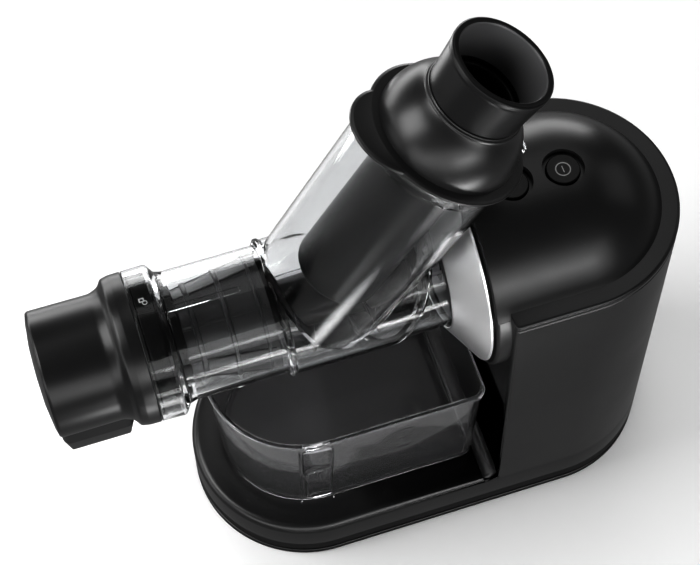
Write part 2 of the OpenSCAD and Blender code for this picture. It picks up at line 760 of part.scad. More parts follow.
module drum_outer() {
    on_axis(collar_x - 2) cylinder(r = drum_r, h = spigot_x - collar_x + 2);
    on_axis(cap_seam_x) cylinder(r = collar_r, h = collar_x - cap_seam_x - 3);
    on_axis(collar_x - 3) cylinder(r1 = collar_r, r2 = drum_r, h = 4.5);
    intersection() {
        on_axis(ring_x) cylinder(r = drum_r + ring_rise, h = bezel_neck_x - 6 - ring_x);
        before_chute_wall();
    }
    intersection() {
        on_chute(0) translate([-chute_offset, 0, 0]) cylinder(r1 = chute_foot_r, r2 = chute_mouth_r, h = chute_len);
        above_axis();
    }
    on_chute(chute_len - 5) cylinder(r = chute_mouth_r + 1.5, h = 5);
    on_chute(chute_len - 5) translate([chute_mouth_r - 4, -9, 0]) cube([14, 18, 5]);
    translate([outlet_x, 0, outlet_z]) cylinder(d = outlet_d, h = axis_z - outlet_z - 20);
}

module drum_inner() {
    on_axis(collar_x - 20) cylinder(r = drum_r - drum_wall, h = spigot_x - collar_x + 40);
    on_axis(cap_seam_x - 1) cylinder(r = collar_r - drum_wall, h = collar_x - cap_seam_x - 1);
    on_chute(0) translate([-chute_offset, 0, 0])
        cylinder(r1 = chute_foot_r - drum_wall, r2 = chute_mouth_r - drum_wall, h = chute_len + 1);
    on_chute(chute_len - 5) translate([-chute_offset, 0, 0]) cylinder(r = chute_mouth_r - drum_wall, h = 7);
    translate([outlet_x, 0, outlet_z - 1]) cylinder(d = outlet_d - 2 * drum_wall, h = axis_z - outlet_z);
}

module drum() {
    color([0.85, 0.87, 0.88, 0.35]) difference() {
        drum_outer();
        drum_inner();
    }
}

module drum_seal() {
    color([0.15, 0.15, 0.15]) on_axis(seal_x + eps) tube(drum_r - drum_wall - 0.08, spigot_r - 1.2, 4 - 2 * eps);
}

// ---------- auger and screen ----------

auger_x0 = collar_x + 4;
auger_x1 = bezel_neck_x - 11;
flight_w = 5;
// Room that the flights sweep: a cone inside the screen, then a cylinder.
module flight_envelope() {
    on_axis(0) rotate_extrude() polygon([[0, auger_x0 + 4], [screen_r2 - screen_wall - 1.2, auger_x0 + 4],
        [auger_r, screen_x0 + screen_l], [auger_r, auger_x1 - 4], [0, auger_x1 - 4]]);
}

module auger() {
    flight_l = auger_x1 - auger_x0 - 8;
    color([0.20, 0.20, 0.21]) difference() {
        union() {
            on_axis(auger_x0) cylinder(r1 = 14, r2 = 19, h = auger_x1 - auger_x0);
            on_axis(auger_x1 - 6) cylinder(r = auger_r, h = 6);
            on_axis(auger_x0 - 16) cylinder(r = journal_r, h = 20);
            intersection() {
                on_axis(auger_x0 + 4) linear_extrude(flight_l, twist = -360 * flight_l / auger_pitch,
                    slices = 80, $fn = 8)
                    translate([8, -flight_w / 2]) square([auger_r, flight_w]);
                flight_envelope();
            }
        }
        on_axis(hex_x - 1) cylinder(r = hex_af / sqrt(3) + 0.4, h = 60, $fn = 6);
    }
}

journal_r = 7;
screen_x0 = auger_x0;
screen_l = ring_x - 4 - auger_x0;
module screen() {
    color([0.24, 0.24, 0.25]) difference() {
        union() {
            on_axis(screen_x0) cylinder(r1 = screen_r2, r2 = screen_r1, h = screen_l);
            for (k = [0.02, 0.28, 0.60, 0.93]) on_axis(screen_x0 + k * screen_l)
                cylinder(r = screen_r2 + (screen_r1 - screen_r2) * k + 1.6, h = 4);
        }
        on_axis(screen_x0 - 1) cylinder(r1 = screen_r2 - screen_wall, r2 = screen_r1 - screen_wall, h = screen_l + 5);
        for (a = [0 : 45 : 315]) for (k = [0.12, 0.40, 0.72])
            on_axis(screen_x0 + k * screen_l) rotate([0, 0, a + 22.5])
            translate([15, -7, 0]) cube([30, 14, screen_l * 0.14]);
    }
}

module screen_holder() {
    hub_l = 10;
    color([0.14, 0.14, 0.14]) {
        on_axis(0) rotate_extrude() polygon([
            [screen_r2 + 0.5, cap_seam_x + 2], [collar_r - drum_wall - run_gap, cap_seam_x + 2],
            [collar_r - drum_wall - run_gap, collar_x - 5], [drum_r - drum_wall - 1, collar_x - 5],
            [drum_r - drum_wall - 1, collar_x - 1], [screen_r2 + 4.5, collar_x - 1],
            [screen_r2 + 4.5, screen_x0 + 3.5], [screen_r2 + 1.9, screen_x0 + 3.5],
            [screen_r2 + 1.9, screen_x0 - 1], [screen_r2 + 0.5, screen_x0 - 1]]);
        on_axis(cap_seam_x + 2) difference() {
            union() {
                cylinder(r = journal_r + 3, h = hub_l);
                for (a = [30, 150, 270]) rotate([0, 0, a]) translate([journal_r + 1, -1.5, 0])
                    cube([screen_r2 - journal_r + 1, 3, hub_l]);
            }
            translate([0, 0, -1]) cylinder(r = journal_r + bore_gap, h = hub_l + 2);
        }
    }
}

// ---------- end cap ----------

cap_ring_x = cap_seam_x - seat_gap;
cap_hollow_r = cap_r - wall;
module cap_profile() {
    ring_r = collar_r - 0.5;
    polygon([[0, cap_x], [cap_r - 2, cap_x], [cap_r, cap_x + 2], [cap_r, cap_ring_x - cap_ring_l - 7],
        [cap_r + 0.8, cap_ring_x - cap_ring_l - 5], [ring_r - 1.6, cap_ring_x - cap_ring_l - 1],
        [ring_r, cap_ring_x - cap_ring_l + 2], [ring_r + 0.3, cap_ring_x], [0, cap_ring_x]]);
}

module end_cap() {
    bulge_r = (cap_r * cap_r + cap_bulge * cap_bulge) / 2 / cap_bulge;
    color([0.08, 0.08, 0.08]) difference() {
        union() {
            on_axis(0) rotate_extrude() cap_profile();
            intersection() {
                on_axis(cap_x - cap_bulge + bulge_r) sphere(r = bulge_r);
                on_axis(cap_x - cap_bulge - 1) cylinder(r = cap_r - 2, h = cap_bulge + 3);
            }
            translate([cap_x + 3, -pulp_w / 2, pulp_z]) cube([pulp_l, pulp_w, 50]);
        }
        on_axis(cap_x + wall) cylinder(r = cap_hollow_r, h = cap_ring_x - cap_x - wall - 8);
        on_axis(cap_ring_x - 9) cylinder(r = screen_r2 + 0.5, h = 20);
        translate([cap_x + 3 + wall, -pulp_w / 2 + wall, pulp_z - 1])
            cube([pulp_l - 2 * wall, pulp_w - 2 * wall, 60]);
    }
}

module cap_seal() {
    color([0.2, 0.2, 0.2]) on_axis(cap_ring_x + eps) tube(collar_r - drum_wall - run_gap, collar_r - drum_wall - 4, 1.9);
}

// ---------- chute lid and pusher ----------

plug_l = 6;
module chute_lid() {
    color([0.10, 0.10, 0.10]) on_chute(chute_len + seat_gap) difference() {
        union() {
            cylinder(r = lid_r, h = lid_t - seat_gap);
            translate([-lobe_out, 0, 0]) cylinder(r = lobe_r, h = lid_t - seat_gap);
            translate([-chute_offset, 0, -plug_l]) cylinder(r = chute_mouth_r - drum_wall - run_gap, h = plug_l + 1);
            intersection() {
                translate([0, 0, lid_t]) sphere(r = bell_r);
                cylinder(r = bell_r, h = lid_t + bell_h);
            }
            translate([0, 0, bell_h - 1]) cylinder(r = neck_r + 0.7, h = lid_t + 1.6);
            cylinder(r = neck_r, h = lid_t + bell_h + 2);
        }
        difference() {
            translate([0, 0, lid_t]) sphere(r = bell_r - wall);
            translate([0, 0, lid_t + bell_h - wall]) cylinder(r = bell_r, h = bell_h);
            translate([0, 0, 1 - 2 * bell_r]) cylinder(r = bell_r, h = 2 * bell_r);
        }
        translate([0, 0, -plug_l - 1]) cylinder(r = chute_mouth_r - 2 * drum_wall, h = plug_l + 3);
        translate([0, 0, -plug_l - 1]) cylinder(r = pusher_r + run_gap, h = 3 * bell_h);
    }
}

// Room for the auger below both pushers, so that their feet are hollowed like a saddle.
module auger_room(grow = 0) {
    on_axis(chute_x - 2 * auger_r) cylinder(r = auger_r + auger_clear + grow, h = 5 * auger_r);
}

flare_h = 24;
module pusher() {
    bore = pusher_r - pusher_wall;
    rim_bore = pusher_rim_r - 3.6;
    color([0.09, 0.09, 0.09]) difference() {
        union() {
            on_chute(pusher_foot) cylinder(r = pusher_r, h = pusher_top - flare_h - pusher_foot);
            on_chute(pusher_top - flare_h) cylinder(r1 = pusher_r, r2 = pusher_rim_r - 0.6, h = flare_h - 5);
            on_chute(pusher_top - 5) cylinder(r = pusher_rim_r, h = 5);
        }
        difference() {
            on_chute(pusher_foot + pusher_wall) cylinder(r = bore, h = pusher_top);
            auger_room(pusher_wall);
        }
        on_chute(pusher_top - flare_h) cylinder(r1 = bore, r2 = rim_bore, h = flare_h + eps);
        on_chute(pusher_top - eps) cylinder(r = rim_bore, h = 5);
        auger_room();
    }
}

cup_floor = 3;
module small_pusher() {
    foot = pusher_foot + pusher_wall + seat_gap;
    color([0.07, 0.07, 0.07]) difference() {
        on_chute(foot) cylinder(r = pusher_r - pusher_wall - run_gap, h = pusher_top - pusher_cup_depth - foot);
        difference() {
            on_chute(foot + cup_floor) cylinder(r = small_bore_r, h = pusher_top);
            auger_room(pusher_wall + seat_gap + cup_floor);
        }
        auger_room(pusher_wall + seat_gap);
    }
}

// ---------- juice container ----------

box_z = base_h + seat_gap;
grip_x = -93;
module box_outline(r, end_x, corner) {
    translate([-half_d, 0]) circle(r);
    translate([-half_d, -r]) square([end_x - corner + half_d, 2 * r]);
    translate([-half_d, -r + corner]) square([end_x + half_d, 2 * (r - corner)]);
    for (sy = [-1, 1]) translate([end_x - corner, sy * (r - corner)]) circle(corner);
}

module juice_container() {
    color([0.75, 0.76, 0.78, 0.35]) difference() {
        union() {
            box_solid(0, box_z, box_rim_z);
            translate([0, 0, box_rim_z - 3]) linear_extrude(3) box_outline(box_r + 1.5, box_end_x + 2.5, 8);
            translate([grip_x, -box_r + 4, box_z + 5]) cylinder(d = 24, h = box_rim_z - box_z - 14);
        }
        box_solid(box_wall, box_z + box_wall + 3, box_rim_z + 1);
        box_solid(box_wall + 2, box_z - 1, box_z + 2.5);
    }
}

// Container block whose side walls lean outwards towards the rim.
module box_solid(inset, z0, z1) {
    lean0 = box_draft * (box_rim_z - z0) / (box_rim_z - box_z);
    lean1 = box_draft * (box_rim_z - z1) / (box_rim_z - box_z);
    r0 = box_r - lean0 - inset;
    r1 = box_r - lean1 - inset;
    corner = 9;
    translate([-half_d, 0, z0]) cylinder(r1 = r0, r2 = r1, h = z1 - z0);
    translate([-half_d, 0, 0]) rotate([90, 0, 90]) linear_extrude(box_end_x - inset - corner + half_d)
        polygon([[-r0, z0], [r0, z0], [r1, z1], [-r1, z1]]);
    translate([box_end_x - inset - corner - eps, -r0 + corner, z0]) cube([corner + eps, 2 * (r0 - corner), z1 - z0]);
    for (sy = [-1, 1]) translate([box_end_x - inset - corner, sy * (r0 - corner), z0])
        cylinder(r = corner, h = z1 - z0);
}

bottom_plate();
rubber_feet();
plate_screws();
body_shell();
top_cover();
cover_screws();
nose_plate();
bezel_ring();
start_button();
release_button();
start_spring();
release_spring();
control_board();
cord_gland();
motor_stator();
motor_coils();
motor_bracket();
motor_bridge();
chassis_screws();
rotor_core();
rotor_shaft();
cooling_fan();
gear_case();
gear_case_cover();
case_screws();
idler_shaft();
idler_wheel();
idler_pinion();
output_wheel();
drive_shaft();
shaft_bearings();
idler_bushes();
shaft_seal();
drum();
drum_seal();
auger();
screen();
screen_holder();
end_cap();
cap_seal();
chute_lid();
pusher();
small_pusher();
juice_container();
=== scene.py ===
"""Horizontal cold press juicer: housing, clear drum with feed chute, pusher, pulp cap and juice container."""
import math

import bmesh
import bpy
from mathutils import Matrix, Vector


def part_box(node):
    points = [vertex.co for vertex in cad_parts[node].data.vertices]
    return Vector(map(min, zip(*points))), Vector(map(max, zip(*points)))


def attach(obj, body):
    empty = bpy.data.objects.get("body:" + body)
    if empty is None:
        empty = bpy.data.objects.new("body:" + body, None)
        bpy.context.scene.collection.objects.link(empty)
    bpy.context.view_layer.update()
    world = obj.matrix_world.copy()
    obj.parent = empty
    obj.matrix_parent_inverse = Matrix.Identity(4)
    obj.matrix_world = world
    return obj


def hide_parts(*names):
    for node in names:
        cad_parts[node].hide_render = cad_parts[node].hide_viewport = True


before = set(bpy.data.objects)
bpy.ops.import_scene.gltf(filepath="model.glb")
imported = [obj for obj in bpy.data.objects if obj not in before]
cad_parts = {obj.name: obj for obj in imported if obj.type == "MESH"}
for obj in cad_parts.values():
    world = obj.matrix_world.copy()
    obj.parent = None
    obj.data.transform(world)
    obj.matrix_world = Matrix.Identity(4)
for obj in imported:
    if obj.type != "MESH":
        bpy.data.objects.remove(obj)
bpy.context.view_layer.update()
scene = bpy.context.scene
MM = 0.001
LOW, HIGH = 0, 1
X, Y, Z = 0, 1, 2


# ---------------------------------------------------------------- sizes, in millimetres
def cad_mm(node, corner, axis):
    """One coordinate of a CAD node's lowest or highest corner at rest."""
    return round(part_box(node)[corner][axis] / MM, 1)


def cad_middle(node, axis):
    """Middle of a CAD node's box along an axis."""
    return (cad_mm(node, LOW, axis) + cad_mm(node, HIGH, axis)) / 2


# base and housing
BASE_R = cad_mm("bottom_plate", HIGH, Y)
END_X = cad_mm("bottom_plate", HIGH, X) - BASE_R
PLATE_LOW = cad_mm("bottom_plate", LOW, Z)
PLATE_TOP = cad_mm("bottom_plate", HIGH, Z)
GAP_R = BASE_R - 3.2
BASE_TOP = 45.0
FRONT_X = 31.0
FOOT_R = 10.8
FOOT_TOP = 3.8
FOOT_X = 100.0
FOOT_Y = 42.0
FEET = [(-FOOT_X, -FOOT_Y), (-FOOT_X, FOOT_Y), (FOOT_X, -FOOT_Y), (FOOT_X, FOOT_Y), (0.0, 0.0)]

# top cover, nose and buttons
AXIS_Z = cad_middle("bezel_ring", Z)
# the seam between housing and cover lies a millimetre higher than in the solids
SEAM_Z = cad_mm("top_cover", LOW, Z) + 1.0
LEDGE_TOP = SEAM_Z + 5.0
LEDGE_R = cad_mm("top_cover", HIGH, Y)
DOME_R = cad_mm("top_cover", HIGH, Z) - AXIS_Z
NOSE_X = cad_mm("top_cover", LOW, X)
NOSE_BORE_R = 66.0
BEZEL_R = cad_mm("bezel_ring", HIGH, Y)
BEZEL_X = cad_mm("bezel_ring", LOW, X)
BUTTON_TOP = cad_mm("start_button", HIGH, Z)
BUTTON_R = 10.5
START_X = cad_middle("start_button", X)
RELEASE_X = cad_middle("release_button", X)

# drum, strainer and pulp cap
COLLAR_X = cad_mm("drum", LOW, X)
CAP_X = cad_mm("end_cap", LOW, X)
DRUM_R = 41.0
DRUM_BORE_R = 38.0
DRUM_END_X = 23.0
DRUM_LOOPS = [-156.0 + 6.0 * k for k in range(26)]
BOOT_R = 43.5
BOOT_BORE_R = 41.2
OUTLET_X = -128.0
HUB_R = 10.0
AUGER_ROOM_R = 34.5

# feed chute, lid and pushers, with heights along the chute from the drum's axis
CHUTE_X = -72.0
CHUTE_TILT = 61.4
CHUTE_LEN = 167.0
CHUTE_SHIFT = -2.0
CHUTE_LOOPS = [8.0 + 7.5 * k for k in range(21)]
LID_FOOT = CHUTE_LEN + 0.2
LID_NECK_R = 28.3
BELL_R = 43.0
PUSHER_R = 27.4
PUSHER_BORE_R = 24.9
SMALL_R = 24.6
SMALL_BORE_R = 20.9

# juice container
TUB_R = 63.0
TUB_END_X = 22.5
TUB_DRAFT = 0.04
GRIP_X = -93.0
GRIP_Z = 100.0

TURN_STEPS = 128


def drum_axis(x=0.0):
    """Own Z along the drum, towards the motor."""
    return Matrix.Translation((x, 0, AXIS_Z)) @ Matrix.Rotation(math.radians(90), 4, "Y")


def about_drum(x, angle):
    """Own Z out from the drum's axis at x, turned round it by angle in degrees."""
    return Matrix.Translation((x, 0, AXIS_Z)) @ Matrix.Rotation(math.radians(angle), 4, "X")


def chute_axis(s=0.0, shift=0.0):
    """Own Z along the chute, own X towards the motor."""
    turn = Matrix.Rotation(math.radians(90 - CHUTE_TILT), 4, "Y")
    return Matrix.Translation((CHUTE_X, 0, AXIS_Z)) @ turn @ Matrix.Translation((shift, 0, s))


def upright(x=0.0, y=0.0, z=0.0):
    """Own Z straight up."""
    return Matrix.Translation((x, y, z))


# ---------------------------------------------------------------- modelling helpers
def rounded(points):
    """A chain of (a, b) points; a point (a, b, radius) is rounded off with that radius."""
    chain = []
    for i, point in enumerate(points):
        if len(point) == 2 or i in (0, len(points) - 1):
            chain.append((point[0], point[1]))
            continue
        corner = Vector(point[:2])
        back = Vector(points[i - 1][:2]) - corner
        ahead = Vector(points[i + 1][:2]) - corner
        half = back.angle(ahead) / 2
        reach = min(point[2] / math.tan(half), back.length * 0.49, ahead.length * 0.49)
        radius = reach * math.tan(half)
        middle = (back.normalized() + ahead.normalized()).normalized()
        centre = corner + middle * (radius / math.sin(half))
        first = corner + back.normalized() * reach - centre
        last = corner + ahead.normalized() * reach - centre
        start = math.atan2(first.y, first.x)
        sweep = math.atan2(last.y, last.x) - start
        sweep = (sweep + math.pi) % (2 * math.pi) - math.pi
        steps = max(3, round(abs(sweep) / math.radians(12)))
        for k in range(steps + 1):
            angle = start + sweep * k / steps
            chain.append((centre.x + radius * math.cos(angle), centre.y + radius * math.sin(angle)))
    return chain


def turned(points, place, steps=TURN_STEPS, ring=False):
    """A profile of (radius, height) points spun round its own axis, then put in place."""
    bm = bmesh.new()
    chain = [bm.verts.new((r, 0, h)) for r, h in rounded(points)]
    edges = [bm.edges.new(pair) for pair in zip(chain, chain[1:])]
    if ring:
        edges.append(bm.edges.new((chain[-1], chain[0])))
    bmesh.ops.spin(bm, geom=chain + edges, cent=(0, 0, 0), axis=(0, 0, 1), angle=2 * math.pi,
                   steps=steps, use_merge=True, use_duplicate=False)
    bmesh.ops.remove_doubles(bm, verts=bm.verts, dist=0.001)
    bmesh.ops.recalc_face_normals(bm, faces=bm.faces)
    bmesh.ops.transform(bm, matrix=place, verts=bm.verts)
    return bm


def lofted(outline, levels, place=None, ring=False):
    """Loops outline(offset) at each (offset, z) level, bridged into a closed solid."""
    bm = bmesh.new()
    loops = []
    for offset, z in rounded(levels):
        verts = [bm.verts.new((x, y, z)) for x, y in outline(offset)]
        edges = [bm.edges.new((verts[i - 1], verts[i])) for i in range(len(verts))]
        loops.append((verts, edges))
    pairs = list(zip(loops, loops[1:]))
    if ring:
        pairs.append((loops[-1], loops[0]))
    for low, high in pairs:
        bmesh.ops.bridge_loops(bm, edges=low[1] + high[1])
    if not ring:
        bm.faces.new(loops[0][0])
        bm.faces.new(loops[-1][0])
    bmesh.ops.recalc_face_normals(bm, faces=bm.faces)
    if place is not None:
        bmesh.ops.transform(bm, matrix=place, verts=bm.verts)
    return bm


def block(low, high, edge=0.0, segments=3, place=None):
    """A box between two corners with rounded edges."""
    bm = bmesh.new()
    bmesh.ops.create_cube(bm, size=1.0)
    size = Vector(high) - Vector(low)
    bmesh.ops.scale(bm, vec=size, verts=bm.verts)
    bmesh.ops.translate(bm, vec=(Vector(low) + Vector(high)) / 2, verts=bm.verts)
    if edge:
        bmesh.ops.bevel(bm, geom=bm.edges[:], offset=edge, segments=segments, affect="EDGES", profile=0.5,
                        material=-1)
    if place is not None:
        bmesh.ops.transform(bm, matrix=place, verts=bm.verts)
    return bm


def added(bm, *others):
    """Puts the meshes of others into bm, side by side."""
    for other in others:
        mesh = bpy.data.meshes.new("part")
        other.to_mesh(mesh)
        other.free()
        bm.from_mesh(mesh)
        bpy.data.meshes.remove(mesh)
    return bm


def combined(bm, other, operation):
    """The union or difference of two closed solids, as a new mesh."""
    pair = []
    for solid in (bm, other):
        mesh = bpy.data.meshes.new("solid")
        solid.to_mesh(mesh)
        solid.free()
        helper = bpy.data.objects.new("solid", mesh)
        scene.collection.objects.link(helper)
        pair.append(helper)
    modifier = pair[0].modifiers.new("combine", "BOOLEAN")
    modifier.operation = operation
    modifier.object = pair[1]
    modifier.solver = "EXACT"
    bpy.context.view_layer.update()
    graph = bpy.context.evaluated_depsgraph_get()
    mesh = bpy.data.meshes.new_from_object(pair[0].evaluated_get(graph))
    result = bmesh.new()
    result.from_mesh(mesh)
    for helper in pair:
        data = helper.data
        bpy.data.objects.remove(helper)
        bpy.data.meshes.remove(data)
    bpy.data.meshes.remove(mesh)
    return result


def joined(bm, *others):
    """The union of closed solids."""
    for other in others:
        bm = combined(bm, other, "UNION")
    return bm


def cut(bm, *tools):
    """A closed solid less each of the tools."""
    for tool in tools:
        bm = combined(bm, tool, "DIFFERENCE")
    return bm


def rod(r, low, high, place, steps=TURN_STEPS):
    """A plain cylinder between two heights of its own axis."""
    return turned([(0, low), (r, low), (r, high), (0, high)], place, steps)


def finished(name, bm, material, body, covers=(), sharp=30.0):
    """Makes the piece's object: metres, smooth faces with sharp corners, its material and its body."""
    bmesh.ops.remove_doubles(bm, verts=bm.verts, dist=0.0015)
    bmesh.ops.recalc_face_normals(bm, faces=bm.faces)
    bmesh.ops.scale(bm, vec=(MM, MM, MM), verts=bm.verts)
    limit = math.radians(sharp)
    for face in bm.faces:
        face.smooth = True
    for edge in bm.edges:
        if len(edge.link_faces) == 2 and edge.calc_face_angle(0.0) > limit:
            edge.smooth = False
    mesh = bpy.data.meshes.new(name)
    bm.to_mesh(mesh)
    bm.free()
    mesh.materials.append(material)
    piece = bpy.data.objects.new(name, mesh)
    scene.collection.objects.link(piece)
    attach(piece, body)
    if covers:
        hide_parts(*covers)
    return piece


def even_normals(piece):
    """Weighs the normals by area, so cut surfaces shade evenly."""
    modifier = piece.modifiers.new("even normals", "WEIGHTED_NORMAL")
    modifier.keep_sharp = True
    modifier.weight = 100


# ---------------------------------------------------------------- outlines
def arc(cx, cy, r, start, end, steps):
    """Points on an arc, angles in degrees, both ends included."""
    angles = [math.radians(start + (end - start) * k / steps) for k in range(steps + 1)]
    return [(cx + r * math.cos(angle), cy + r * math.sin(angle)) for angle in angles]


def footprint(r):
    """Stadium round both end centres, r from the spine."""
    return arc(END_X, 0, r, -90, 90, 64) + arc(-END_X, 0, r, 90, 270, 64)


def housing_outline(r):
    """Round motor end with a flat front and small corners."""
    corner = 3.0
    rear = arc(END_X, 0, r, -90, 90, 64)
    upper = arc(FRONT_X + corner, r - corner, corner, 90, 180, 6)
    lower = arc(FRONT_X + corner, -r + corner, corner, 180, 270, 6)
    return rear + upper + lower


def container_outline(r):
    """Round left end, squared right end with rounded corners; the right end leans half as much."""
    corner = 8.0
    end = TUB_END_X + (r - TUB_R) * 0.5
    left = arc(-END_X, 0, r, 90, 270, 56)
    lower = arc(end - corner, -r + corner, corner, 270, 360, 10)
    upper = arc(end - corner, r - corner, corner, 0, 90, 10)
    return left + lower + upper


def box_outline(x0, x1, y0, y1, corner):
    """A function that gives a rectangle with rounded corners, grown on every side by its offset."""
    def outline(offset):
        r = corner + offset
        left, right = x0 - offset + r, x1 + offset - r
        low, high = y0 - offset + r, y1 + offset - r
        return (arc(right, low, r, 270, 360, 6) + arc(right, high, r, 0, 90, 6)
                + arc(left, high, r, 90, 180, 6) + arc(left, low, r, 180, 270, 6))
    return outline


# ---------------------------------------------------------------- shader groups
def new_group(name, inputs, outputs):
    """An empty shader group with named float, colour or vector sockets."""
    group = bpy.data.node_groups.new(name, "ShaderNodeTree")
    kinds = {"f": "NodeSocketFloat", "c": "NodeSocketColor", "v": "NodeSocketVector"}
    for label, kind, default in inputs:
        socket = group.interface.new_socket(label, in_out="INPUT", socket_type=kinds[kind])
        if default is not None:
            socket.default_value = default
    for label, kind in outputs:
        group.interface.new_socket(label, in_out="OUTPUT", socket_type=kinds[kind])
    entry = group.nodes.new("NodeGroupInput")
    leave = group.nodes.new("NodeGroupOutput")
    return group, entry, leave


def grain_group():
    """Fine spark-eroded grain of a moulding, with slow patches of polish."""
    group, entry, leave = new_group(
        "Moulded Grain",
        [("Position", "v", None), ("Grain Size", "f", 1600.0), ("Patch Size", "f", 14.0),
         ("Smooth Roughness", "f", 0.3), ("Rough Roughness", "f", 0.4)],
        [("Roughness", "f"), ("Height", "f")])
    nodes, links = group.nodes, group.links
    fine = nodes.new("ShaderNodeTexNoise")
    fine.inputs["Detail"].default_value = 2.0
    patch = nodes.new("ShaderNodeTexNoise")
    patch.inputs["Detail"].default_value = 3.0
    spread = nodes.new("ShaderNodeMapRange")
    spread.inputs["From Min"].default_value = 0.35
    spread.inputs["From Max"].default_value = 0.65
    links.new(entry.outputs["Position"], fine.inputs["Vector"])
    links.new(entry.outputs["Position"], patch.inputs["Vector"])
    links.new(entry.outputs["Grain Size"], fine.inputs["Scale"])
    links.new(entry.outputs["Patch Size"], patch.inputs["Scale"])
    links.new(patch.outputs["Fac"], spread.inputs["Value"])
    links.new(entry.outputs["Smooth Roughness"], spread.inputs["To Min"])
    links.new(entry.outputs["Rough Roughness"], spread.inputs["To Max"])
    links.new(spread.outputs["Result"], leave.inputs["Roughness"])
    links.new(fine.outputs["Fac"], leave.inputs["Height"])
    return group


def tone_group():
    """Slow drift between two tones of the same finish, with a trace of dust."""
    group, entry, leave = new_group(
        "Tone Drift",
        [("Position", "v", None), ("Deep", "c", (0.01, 0.01, 0.01, 1)), ("Pale", "c", (0.02, 0.02, 0.02, 1)),
         ("Size", "f", 9.0), ("Dust", "f", 0.03)],
        [("Color", "c")])
    nodes, links = group.nodes, group.links
    drift = nodes.new("ShaderNodeTexNoise")
    drift.inputs["Detail"].default_value = 4.0
    blend = nodes.new("ShaderNodeMix")
    blend.data_type = "RGBA"
    specks = nodes.new("ShaderNodeTexNoise")
    specks.inputs["Scale"].default_value = 900.0
    specks.inputs["Detail"].default_value = 1.0
    keep = nodes.new("ShaderNodeMapRange")
    keep.inputs["From Min"].default_value = 0.68
    keep.inputs["From Max"].default_value = 0.78
    weigh = nodes.new("ShaderNodeMath")
    weigh.operation = "MULTIPLY"
    dusted = nodes.new("ShaderNodeMix")
    dusted.data_type = "RGBA"
    dusted.inputs["B"].default_value = (0.35, 0.35, 0.35, 1)
    links.new(entry.outputs["Position"], drift.inputs["Vector"])
    links.new(entry.outputs["Position"], specks.inputs["Vector"])
    links.new(entry.outputs["Size"], drift.inputs["Scale"])
    links.new(drift.outputs["Fac"], blend.inputs["Factor"])
    links.new(entry.outputs["Deep"], blend.inputs["A"])
    links.new(entry.outputs["Pale"], blend.inputs["B"])
    links.new(specks.outputs["Fac"], keep.inputs["Value"])
    links.new(keep.outputs["Result"], weigh.inputs[0])
    links.new(entry.outputs["Dust"], weigh.inputs[1])
    links.new(weigh.outputs["Value"], dusted.inputs["Factor"])
    links.new(blend.outputs["Result"], dusted.inputs["A"])
    links.new(dusted.outputs["Result"], leave.inputs["Color"])
    return group


GRAIN = grain_group()
TONE = tone_group()


def placed_groups(nodes):
    """The two shader groups, placed in a material."""
    tone = nodes.new("ShaderNodeGroup")
    tone.node_tree = TONE
    surface = nodes.new("ShaderNodeGroup")
    surface.node_tree = GRAIN
    return tone, surface


def wire_groups(links, position, tone, surface, bump, shader):
    """Leads the position into both groups, and their results into the shader."""
    links.new(position, tone.inputs["Position"])
    links.new(position, surface.inputs["Position"])
    links.new(tone.outputs["Color"], shader.inputs["Base Color"])
    links.new(surface.outputs["Roughness"], shader.inputs["Roughness"])
    links.new(surface.outputs["Height"], bump.inputs["Height"])
    links.new(bump.outputs["Normal"], shader.inputs["Normal"])


def moulded(name, deep, pale, smooth, rough, depth, grain=1600.0, metallic=0.0, coat=0.0, dust=0.02,
            specular=0.35, stretch=None):
    """An opaque finish: toned colour, patchy roughness and a fine grain, depth in millimetres."""
    material = bpy.data.materials.new(name)
    material.use_nodes = True
    nodes, links = material.node_tree.nodes, material.node_tree.links
    shader = nodes["Principled BSDF"]
    where = nodes.new("ShaderNodeTexCoord")
    mapping = nodes.new("ShaderNodeMapping")
    if stretch:
        mapping.inputs["Scale"].default_value = stretch
    tone, surface = placed_groups(nodes)
    bump = nodes.new("ShaderNodeBump")
    bump.inputs["Strength"].default_value = 1.0
    bump.inputs["Distance"].default_value = depth * MM
    links.new(where.outputs["Object"], mapping.inputs["Vector"])
    wire_groups(links, mapping.outputs["Vector"], tone, surface, bump, shader)
    tone.inputs["Deep"].default_value = (*deep, 1)
    tone.inputs["Pale"].default_value = (*pale, 1)
    tone.inputs["Dust"].default_value = dust
    surface.inputs["Grain Size"].default_value = grain
    surface.inputs["Smooth Roughness"].default_value = smooth
    surface.inputs["Rough Roughness"].default_value = rough
    shader.inputs["Metallic"].default_value = metallic
    shader.inputs["Specular IOR Level"].default_value = specular
    shader.inputs["Coat Weight"].default_value = coat
    shader.inputs["Coat Roughness"].default_value = 0.2
    return material


def clear(name, tint, ripple, haze=0.0):
    """Clear moulded plastic with a faint ripple, in millimetres, and smudges."""
    material = bpy.data.materials.new(name)
    material.use_nodes = True
    nodes, links = material.node_tree.nodes, material.node_tree.links
    shader = nodes["Principled BSDF"]
    where = nodes.new("ShaderNodeTexCoord")
    tone, surface = placed_groups(nodes)
    bump = nodes.new("ShaderNodeBump")
    bump.inputs["Distance"].default_value = ripple * MM
    wire_groups(links, where.outputs["Object"], tone, surface, bump, shader)
    tone.inputs["Deep"].default_value = (*[c * 0.985 for c in tint], 1)
    tone.inputs["Pale"].default_value = (*tint, 1)
    tone.inputs["Dust"].default_value = 0.0
    surface.inputs["Grain Size"].default_value = 40.0
    surface.inputs["Patch Size"].default_value = 30.0
    surface.inputs["Smooth Roughness"].default_value = 0.02
    surface.inputs["Rough Roughness"].default_value = 0.05
    shader.inputs["Transmission Weight"].default_value = 1.0 - haze
    shader.inputs["IOR"].default_value = 1.25
    return material


